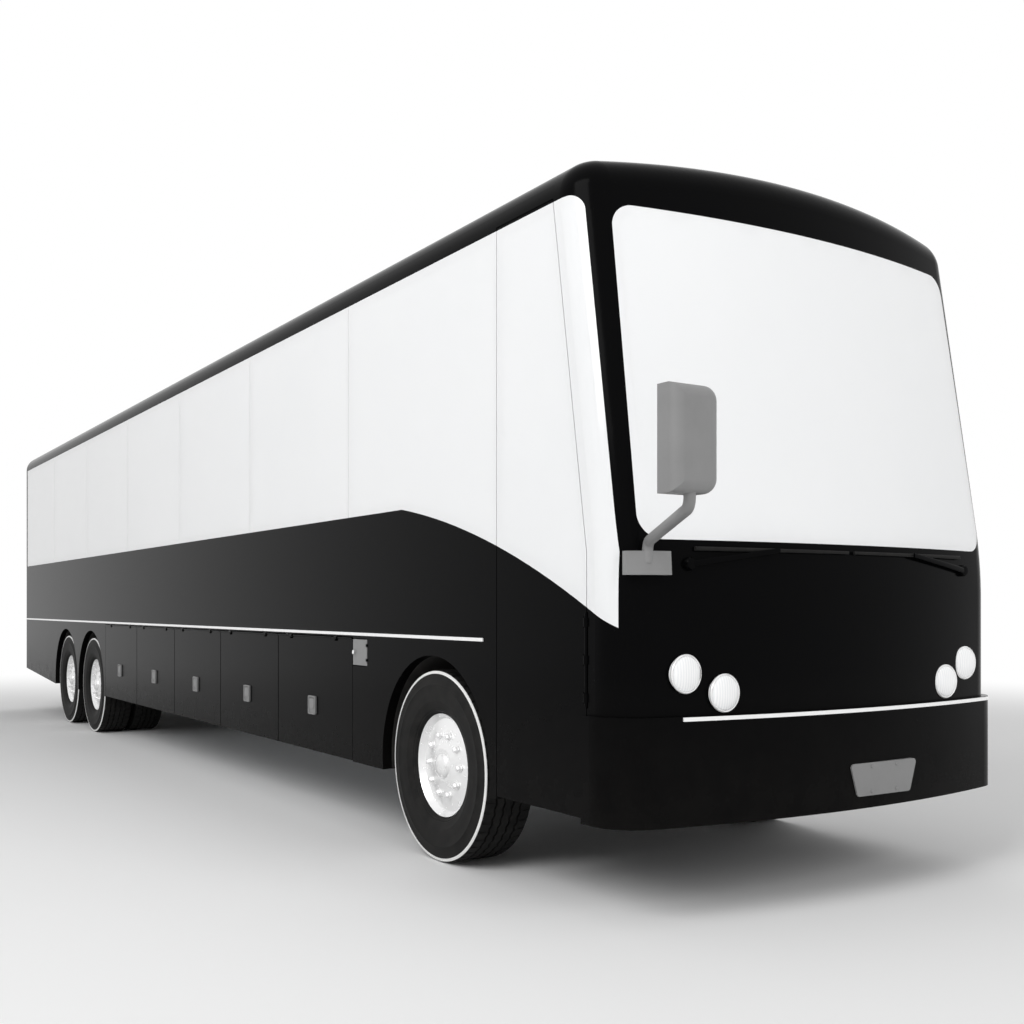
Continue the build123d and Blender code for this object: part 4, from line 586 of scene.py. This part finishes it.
# Engine door pulls: the luggage doors' latch again, moulded flatter and in black plastic, screwed to
# the lid near its lower corners.
ENGINE_DOOR_T = 0.040
PULL_Y = 0.600
PULL_RISE = 0.110
PULL_FLATTER = 0.8
low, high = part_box("engine_door")
pulls = [
    facing_back(grid) * (PULL_FLATTER, 1, 1) + (high.x - ENGINE_DOOR_T, side * PULL_Y, low.z + PULL_RISE)
    for grid in (dish, paddle)
    for side in (-1, 1)
]
engine_pulls = piece("engine_pulls", pulls, dark_plastic, "engine_door")

# Number plate panel: a blank grey plastic plate, cut to the drawing's outline and held on the bumper
# by four pan-head screws.
PLATE_HOLES = (0.1778, 0.12065)
dress(grey_plastic, "plate_panel")
low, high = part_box("plate_panel")
screw = [(0.0, -0.004), (0.0034, -0.004), (0.0034, 0.0), (0.009, 0.0)]
screw = turned([*screw, (0.009, 0.002), (0.006, 0.0045), (0.0, 0.005)], 20)
halves = np.array([(0, across, up) for across in (-0.5, 0.5) for up in (-0.5, 0.5)])
holes = (high.x, (low.y + high.y) / 2, (low.z + high.z) / 2) + halves * (0, *PLATE_HOLES)
screws = piece("plate_screws", [screw[..., along_x] + holes[:, None, None, :]], grey_plastic, "root")

# Mirrors: grey moulded heads on tubular arms, ahead of the right-hand corner and beside the driver's
# window on the left. Each holds a flat silvered glass above a bulged wide-angle one, clipped in.
MIRROR_HEAD = (0.110, 0.230)
MIRROR_Z = 2.049
LEFT_HEAD_AHEAD = 1.065
GLASS_W = 0.206
GLASS_CORNER = 0.029
GLASS_SEAT = 0.0045
dress(grey_plastic, "mirrors")
low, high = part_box("mirrors")
head_y = high.y - MIRROR_HEAD[1] / 2
silvering, shader, place = finish("silvering", Metallic=1.0)
sheen = grain(place, 3.0, 2.0)
sheen.blend((0.86, 0.87, 0.88), (0.92, 0.93, 0.94)).into(shader, "Base Color")
(sheen * 0.03 + 0.02).into(shader, "Roughness")
flat_glass = [(0.10, 0.0), (0.0, 0.0), (0.0, 0.003), (0.03, 0.0045), (0.07, 0.0055), (0.10, 0.006)]
wide_glass = [(0.05, 0.0), (0.0, 0.0), (0.0, 0.003), (0.02, 0.007), (0.04, 0.009), (0.05, 0.0095)]
panes = ((0.272, flat_glass, MIRROR_Z + 0.056), (0.102, wide_glass, MIRROR_Z - 0.140))
front_axle_x = axle_end("front", "left")[0]
heads = ((high.x - MIRROR_HEAD[0], -head_y), (front_axle_x + LEFT_HEAD_AHEAD, head_y))
grids = [
    facing_back(moulding(GLASS_W, tall, GLASS_CORNER, levels, 8)) + (x + GLASS_SEAT, y, z)
    for x, y in heads
    for tall, levels, z in panes
]
glasses = piece("mirror_glass", grids, silvering, "root")

# Dashboard: grained dark plastic over a steel frame, with four dials before the driver. The
# steering wheel's rim has a sewn grip cover, and a moulded pad closes its boss.
COLUMN_FOOT = np.array((front_axle_x + 1.250, 0.700, 1.480))
COLUMN_AXIS = np.array((-0.5, 0.0, 0.8660254))
STEER_R = 0.213
RIM_STAND = 0.203
PAD_STAND = 0.195
GRIP_R = 0.0188
STITCHES = 60
STITCH_RISE = 0.0007
DIAL_X = front_axle_x + 1.325
DIAL_Z = 1.540
DIALS = ((0.545, 0.8), (0.640, 0.8), (0.755, 1.0), (0.870, 1.0))
DIAL_SLOPE = np.array((-0.12, 0.0, 0.15)) / math.hypot(0.12, 0.15)
dress(dark_plastic, "dashboard")


def on_plane(points, centre, axis):
    """Carries points from about the Y axis to about a given axis through centre, X to the left."""
    left = np.array((0.0, 1.0, 0.0))
    return centre + points @ np.stack((left, axis, np.cross(left, axis)))


t = np.linspace(0, 2 * np.pi, 24, endpoint=False)[:, None]
around = np.linspace(0, 2 * np.pi, 240, endpoint=False)
grip_r = GRIP_R + STITCH_RISE * np.cos(STITCHES * around)
ring_r = STEER_R + grip_r * np.cos(t)
grip = np.stack((ring_r * np.cos(around), grip_r * np.sin(t), ring_r * np.sin(around)), -1)
grip = on_plane(grip, COLUMN_FOOT + RIM_STAND * COLUMN_AXIS, COLUMN_AXIS)
horn_pad = [(0.0, 0.008), (0.067, 0.008), (0.069, 0.012), (0.067, 0.020)]
horn_pad = turned([*horn_pad, (0.058, 0.027), (0.034, 0.033), (0.0, 0.035)], 40)
horn_pad = on_plane(horn_pad, COLUMN_FOOT + PAD_STAND * COLUMN_AXIS, COLUMN_AXIS)
dial = [(0.0, 0.001), (0.040, 0.001), (0.044, 0.005), (0.049, 0.008), (0.053, 0.005), (0.054, -0.002)]
dial = turned(dial, 48)
dials = [on_plane(dial * size, np.array((DIAL_X, y, DIAL_Z)), DIAL_SLOPE) for y, size in DIALS]
steering_grip = piece("steering_grip", [grip], dark_plastic, "root", (True, True), 60.0)
steering_pad = piece("steering_pad", [horn_pad], dark_plastic, "root")
dial_rings = piece("dash_dials", dials, bright_strip, "root")

# Driver's seat: moulded foam under black leather, a cushion and a tall back with sewn side bolsters,
# stuffed tight, on a pleated rubber boot over its air pedestal.
SEAT_PAD = (0.520, 0.390, 0.100)
BACK_PAD = (0.520, 0.830, 0.095)
SEAT_PAD_Z = 1.398
SEAT_PAD_FROM_FRONT = 0.190
BACK_PAD_Z = 1.750
BACK_PAD_FROM_REAR = 0.076
BACK_LEAN = 0.03
PAD_CELL = 0.008
PAD_SWELL = 0.012
PAD_PRESSURE = 4.0
PAD_TICKS = 20
SEAM_DEPTH = 0.009
SEAM_HALF = 0.010
BOLSTER_SEAM = 0.125
HEAD_SEAM_Z = 1.960
PAD_END = 0.04
CHANNEL_DRAW = (0.16, 0.012)
CHANNEL_PULL = (0.012, 0.020)
BOOT = (0.26, 0.36)
BOOT_FOOT = 1.022
BOOT_HEIGHT = 0.318
BOOT_AHEAD = 0.005
PLEATS = 8
PLEAT_SHARE = 0.04
seat_leather, shader, place = finish("seat_leather")
pores = place.node("ShaderNodeTexVoronoi", None, "Distance", Vector=place, Scale=260.0)
worn = grain(place, 5.0, 5.0)
worn.blend((0.045, 0.042, 0.042), (0.085, 0.080, 0.078)).into(shader, "Base Color")
(worn * 0.2 + 0.35).into(shader, "Roughness")
relief(pores, 0.0006, 0.5).into(shader, "Normal")


def cushion(length, depth, thick, channels, power=0.42, crown=0.10):
    """Superellipse of depth by thick carried along X. Its thickness swells by crown between the sewn
    channels and is drawn in at each one; the two ends close in a quarter ellipse."""
    share = np.array((0.0, 0.015, 0.04, 0.09, 0.2, 0.35, 0.5, 0.65, 0.8, 0.91, 0.96, 0.985))
    along = np.concatenate(((np.arange(channels)[:, None] + share).ravel(), (channels,))) / channels
    inside = along * channels % 1.0
    from_seam = np.minimum(inside, 1 - inside) * length / channels
    drawn = CHANNEL_DRAW[0] * np.exp(-((from_seam / CHANNEL_DRAW[1]) ** 2))
    swell = 1 + crown * np.sin(np.pi * inside) - drawn
    pull = 1 - CHANNEL_PULL[0] * np.exp(-((from_seam / CHANNEL_PULL[1]) ** 2))
    end = np.linspace(0, 1, 7)[:-1]
    lid = np.sqrt(1 - (1 - end) ** 2)
    middle = PAD_END + along * (length - 2 * PAD_END)
    x = np.concatenate((end * PAD_END, middle, length - end[::-1] * PAD_END)) - length / 2
    deep = np.concatenate((lid * pull[0], pull, lid[::-1] * pull[-1]))
    high = np.concatenate((lid * swell[0], swell, lid[::-1] * swell[-1]))
    side, up = soft_section(depth, thick, power, 40)
    return np.stack(np.broadcast_arrays(x[:, None], deep[:, None] * side, high[:, None] * up), -1)


def work_in(made):
    """Puts what an object's modifiers make of its mesh in the mesh's place, and clears them."""
    graph = bpy.context.evaluated_depsgraph_get()
    made.data = bpy.data.meshes.new_from_object(made.evaluated_get(graph))
    made.modifiers.clear()


def stuffed(name, grid, seams):
    """Pad of foam under leather: the closed grid is remeshed in even cells and blown up as cloth, each
    point held within the swell of its start. Each seam, a place along an axis, is then drawn in by a
    bell curve of the distance from it, and the mesh is subdivided once."""
    pad = piece(name, [grid], seat_leather, "root", sharp=180.0)
    cells = pad.modifiers.new("cells", "REMESH")
    cells.mode = "VOXEL"
    cells.voxel_size = PAD_CELL
    work_in(pad)
    start, end, normal = (np.empty(3 * len(pad.data.vertices)) for _ in range(3))
    pad.data.vertices.foreach_get("co", start)
    leather = pad.modifiers.new("leather", "CLOTH")
    leather.settings.use_pressure = True
    leather.settings.uniform_pressure_force = PAD_PRESSURE
    leather.settings.effector_weights.gravity = 0.0
    for tick in range(1, PAD_TICKS + 1):
        bpy.context.scene.frame_set(tick)
    work_in(pad)
    bpy.context.scene.frame_set(1)
    pad.data.vertices.foreach_get("co", end)
    pad.data.vertex_normals.foreach_get("vector", normal)
    start, end, normal = (flat.reshape(-1, 3) for flat in (start, end, normal))
    far = np.linalg.norm(end - start, axis=1, keepdims=True)
    place = start + (end - start) * np.minimum(1.0, PAD_SWELL / np.maximum(far, 1e-9))
    for axis, at in seams:
        drawn = SEAM_DEPTH * np.exp(-(((start[:, axis] - at) / SEAM_HALF) ** 2))
        place = place - normal * drawn[:, None]
    pad.data.vertices.foreach_set("co", place.ravel())
    fine = pad.modifiers.new("fine", "SUBSURF")
    fine.levels = fine.render_levels = 1
    work_in(pad)
    pad.data.polygons.foreach_set("use_smooth", np.ones(len(pad.data.polygons), bool))
    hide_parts("driver_seat")


low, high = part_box("driver_seat")
seat_y = (low.y + high.y) / 2
pan_x, back_x = high.x - SEAT_PAD_FROM_FRONT, low.x + BACK_PAD_FROM_REAR
pan = cushion(*SEAT_PAD, 1, crown=0.0)[..., along_x] + (pan_x, seat_y, SEAT_PAD_Z)
across, up, out = np.moveaxis(cushion(*BACK_PAD, 1, crown=0.0), -1, 0)
back = np.stack((out - BACK_LEAN * up, across, up), -1) + (back_x, seat_y, BACK_PAD_Z)
bolsters = ((1, seat_y - BOLSTER_SEAM), (1, seat_y + BOLSTER_SEAM))
stuffed("driver_seat_pad", pan, bolsters)
stuffed("driver_back_pad", back, (*bolsters, (2, HEAD_SEAM_Z)))
level = np.linspace(0, 1, 4 * PLEATS + 1)[:, None]
pleat = 1 + PLEAT_SHARE * np.cos(level * PLEATS * 2 * np.pi)
boot_x, boot_y = soft_section(*BOOT, 0.4, 40)
boot = np.stack(np.broadcast_arrays(pleat * boot_x, pleat * boot_y, BOOT_FOOT + level * BOOT_HEIGHT), -1)
boot = np.concatenate((boot[:1] * (0, 0, 1), boot, boot[-1:] * (0, 0, 1)))
boot = boot + ((low.x + high.x) / 2 + BOOT_AHEAD, seat_y, 0)
boots = piece("driver_seat_boot", [boot], bellows_rubber, "root", sharp=60.0)
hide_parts("driver_seat")

# Lounge benches: leather over foam, sewn in channels, on plywood boxes with a recessed kick board.
# One bench is screwed along each side and one across the back of the cabin.
BENCH_DEPTH = 0.560
BACK_T = 0.130
SEAT_TOP = 0.430
PAD_T = 0.120
BENCH_GAP = 0.005
SEAT_SET_IN = 0.004
BACK_SET_IN = 0.002
SIDE_CHANNELS = 20
REAR_CHANNELS = 4
PANEL_SET_IN = 0.012
PANEL_T = 0.048
KICK_SET_IN = 0.035
KICK_HEIGHT = 0.075
low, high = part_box("lounge_benches")
side_rear = low.x + BENCH_DEPTH + BENCH_GAP
side_length = high.x - side_rear
rear_length = high.y - low.y
seat_depth = BENCH_DEPTH - BACK_T
back_height = high.z - low.z - SEAT_TOP + PAD_T


def bench(length, channels):
    """Seat and back of one bench: cushions along X, with the wall at y = 0 and the floor at z = 0."""
    seat = cushion(length, seat_depth, PAD_T, channels, 0.36, 0.05) * (1, -1, 1)
    seat = seat + (0, SEAT_SET_IN - BACK_T - seat_depth / 2, SEAT_TOP - PAD_T / 2 - SEAT_SET_IN)
    rest = cushion(length, back_height, BACK_T, channels, 0.36, 0.04)[..., (0, 2, 1)]
    rest = rest + (0, -BACK_T / 2 - BACK_SET_IN, SEAT_TOP - PAD_T + back_height / 2)
    return seat, rest


def bench_box(length):
    """Front of the box over its kick board: a section in Y and Z carried along X, each end drawn to the
    section's middle to close it."""
    front, top = PANEL_SET_IN - BENCH_DEPTH, SEAT_TOP - PAD_T
    kick, inner = front + KICK_SET_IN, front + PANEL_T
    lip = KICK_HEIGHT + 0.005
    section = [(inner, 0.0), (kick, 0.0), (kick, KICK_HEIGHT), (front, lip), (front, top), (inner, top)]
    section = np.array(section)
    middle = section.mean(0)
    open_share = np.array((0.0, 1.0, 1.0, 0.0))[:, None, None]
    shape = middle + (section - middle) * open_share
    x = np.array((-0.5, -0.5, 0.5, 0.5))[:, None] * length
    return np.stack(np.broadcast_arrays(x, shape[..., 0], shape[..., 1]), -1)


pads, boxes = [], []
for _, sign in WHEEL_SIDES:
    at = (side_rear + side_length / 2, sign * high.y, low.z)
    pads.append([grid * (1, sign, 1) + at for grid in bench(side_length, SIDE_CHANNELS)])
    boxes.append(bench_box(side_length) * (1, sign, 1) + at)
across_back = [
    grid[..., along_x] * (-1, 1, 1) + (low.x, 0.0, low.z)
    for grid in (*bench(rear_length, REAR_CHANNELS), bench_box(rear_length))
]
pads.append(across_back[:2])
boxes.append(across_back[2])
for name, grids in zip(("left", "right", "rear"), pads):
    bench_pads = piece(f"bench_pads_{name}", grids, seat_leather, "root", sharp=50.0)
    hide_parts("lounge_benches")
panels = piece("bench_boxes", boxes, dark_plastic, "root", sharp=20.0)
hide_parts("lounge_benches")

# Stage: a plain pale floor that fades to white, a white surround, soft lamps and a camera ahead of
# the right-hand front corner, a little above the headlamps. Only the key lamp shows in the gloss.
FLOOR_HALF = 150.0
FLOOR_DROP = 0.001
FADE_FROM = 8.0
FADE_TO = 16.0
SURROUND_LIGHT = 0.50
CAMERA_PLACE = (10.468, -4.406, 1.410)
CAMERA_HEADING = math.radians(147.41)
CAMERA_LENS = 41.18
CAMERA_SHIFT = 0.0924
floor_mesh = bpy.data.meshes.new("studio_floor")
corners = np.array([(-1, -1), (1, -1), (1, 1), (-1, 1)]) * FLOOR_HALF
floor_mesh.from_pydata([(x, y, -FLOOR_DROP) for x, y in corners], [], [(0, 1, 2, 3)])
studio_floor = bpy.data.objects.new("studio_floor", floor_mesh)
bpy.context.scene.collection.objects.link(studio_floor)
pale = (0.90, 0.90, 0.90)
floor_paint, shader, place = finish("floor_paint", Base_Color=pale, Roughness=0.9, Specular_IOR_Level=0.0)
away = place.vector("LENGTH", "Value")
smooth = {"interpolation_type": "SMOOTHSTEP"}
fade = place.node("ShaderNodeMapRange", smooth, "Result", Value=away, From_Min=FADE_FROM, From_Max=FADE_TO)
glow = place.node("ShaderNodeEmission", None, 0, Color=(1, 1, 1), Strength=1.0)
lit = Wire(place.tree, shader.outputs[0])
both = fade.node("ShaderNodeMixShader", None, 0, Fac=fade, Shader=lit, Shader_001=glow)
place.tree.links.new(both.socket, place.tree.nodes["Material Output"].inputs["Surface"])
floor_mesh.materials.append(floor_paint)

world = bpy.data.worlds.new("studio")
bpy.context.scene.world = world
world.use_nodes = True
path = world.node_tree.nodes.new("ShaderNodeLightPath")
rays = ("Is Camera Ray", "Is Glossy Ray", "Is Transmission Ray")
seen, shone, passed = (Wire(world.node_tree, path.outputs[ray]) for ray in rays)
shown = seen.combine("MAXIMUM", seen.combine("MAXIMUM", seen, shone), passed)
strength = SURROUND_LIGHT + shown * (1 - SURROUND_LIGHT)
backdrop = world.node_tree.nodes["Background"]
backdrop.inputs["Color"].default_value = (1, 1, 1, 1)
world.node_tree.links.new(strength.socket, backdrop.inputs["Strength"])


def soft_lamp(name, place, target, size, power):
    """Square area lamp that faces a point."""
    light = bpy.data.lights.new(name, "AREA")
    light.size = size
    light.energy = power
    lamp = bpy.data.objects.new(name, light)
    bpy.context.scene.collection.objects.link(lamp)
    lamp.location = place
    aim = np.array(target) - np.array(place)
    tilt = math.acos(-aim[2] / np.linalg.norm(aim))
    lamp.rotation_euler = (tilt, 0, math.atan2(aim[1], aim[0]) - math.pi / 2)
    return lamp


soft_lamp("key_lamp", (9.0, -13.0, 11.0), (0.5, -1.0, 1.5), 9.0, 1300.0)
back_lamp = soft_lamp("back_lamp", (-16.0, 10.0, 9.0), (-3.0, 0.0, 1.5), 9.0, 800.0)
nose_lamp = soft_lamp("nose_lamp", (19.0, 3.0, 8.0), (6.0, 0.0, 1.8), 7.0, 550.0)
back_lamp.visible_glossy = nose_lamp.visible_glossy = False

camera = bpy.data.objects.new("camera", bpy.data.cameras.new("camera"))
bpy.context.scene.collection.objects.link(camera)
bpy.context.scene.camera = camera
camera.location = CAMERA_PLACE
camera.rotation_euler = (math.pi / 2, 0, CAMERA_HEADING - math.pi / 2)
camera.data.sensor_width = 36.0
camera.data.lens = CAMERA_LENS
camera.data.shift_y = CAMERA_SHIFT
camera.data.clip_end = 500.0

bpy.context.scene.view_settings.view_transform = "Standard"
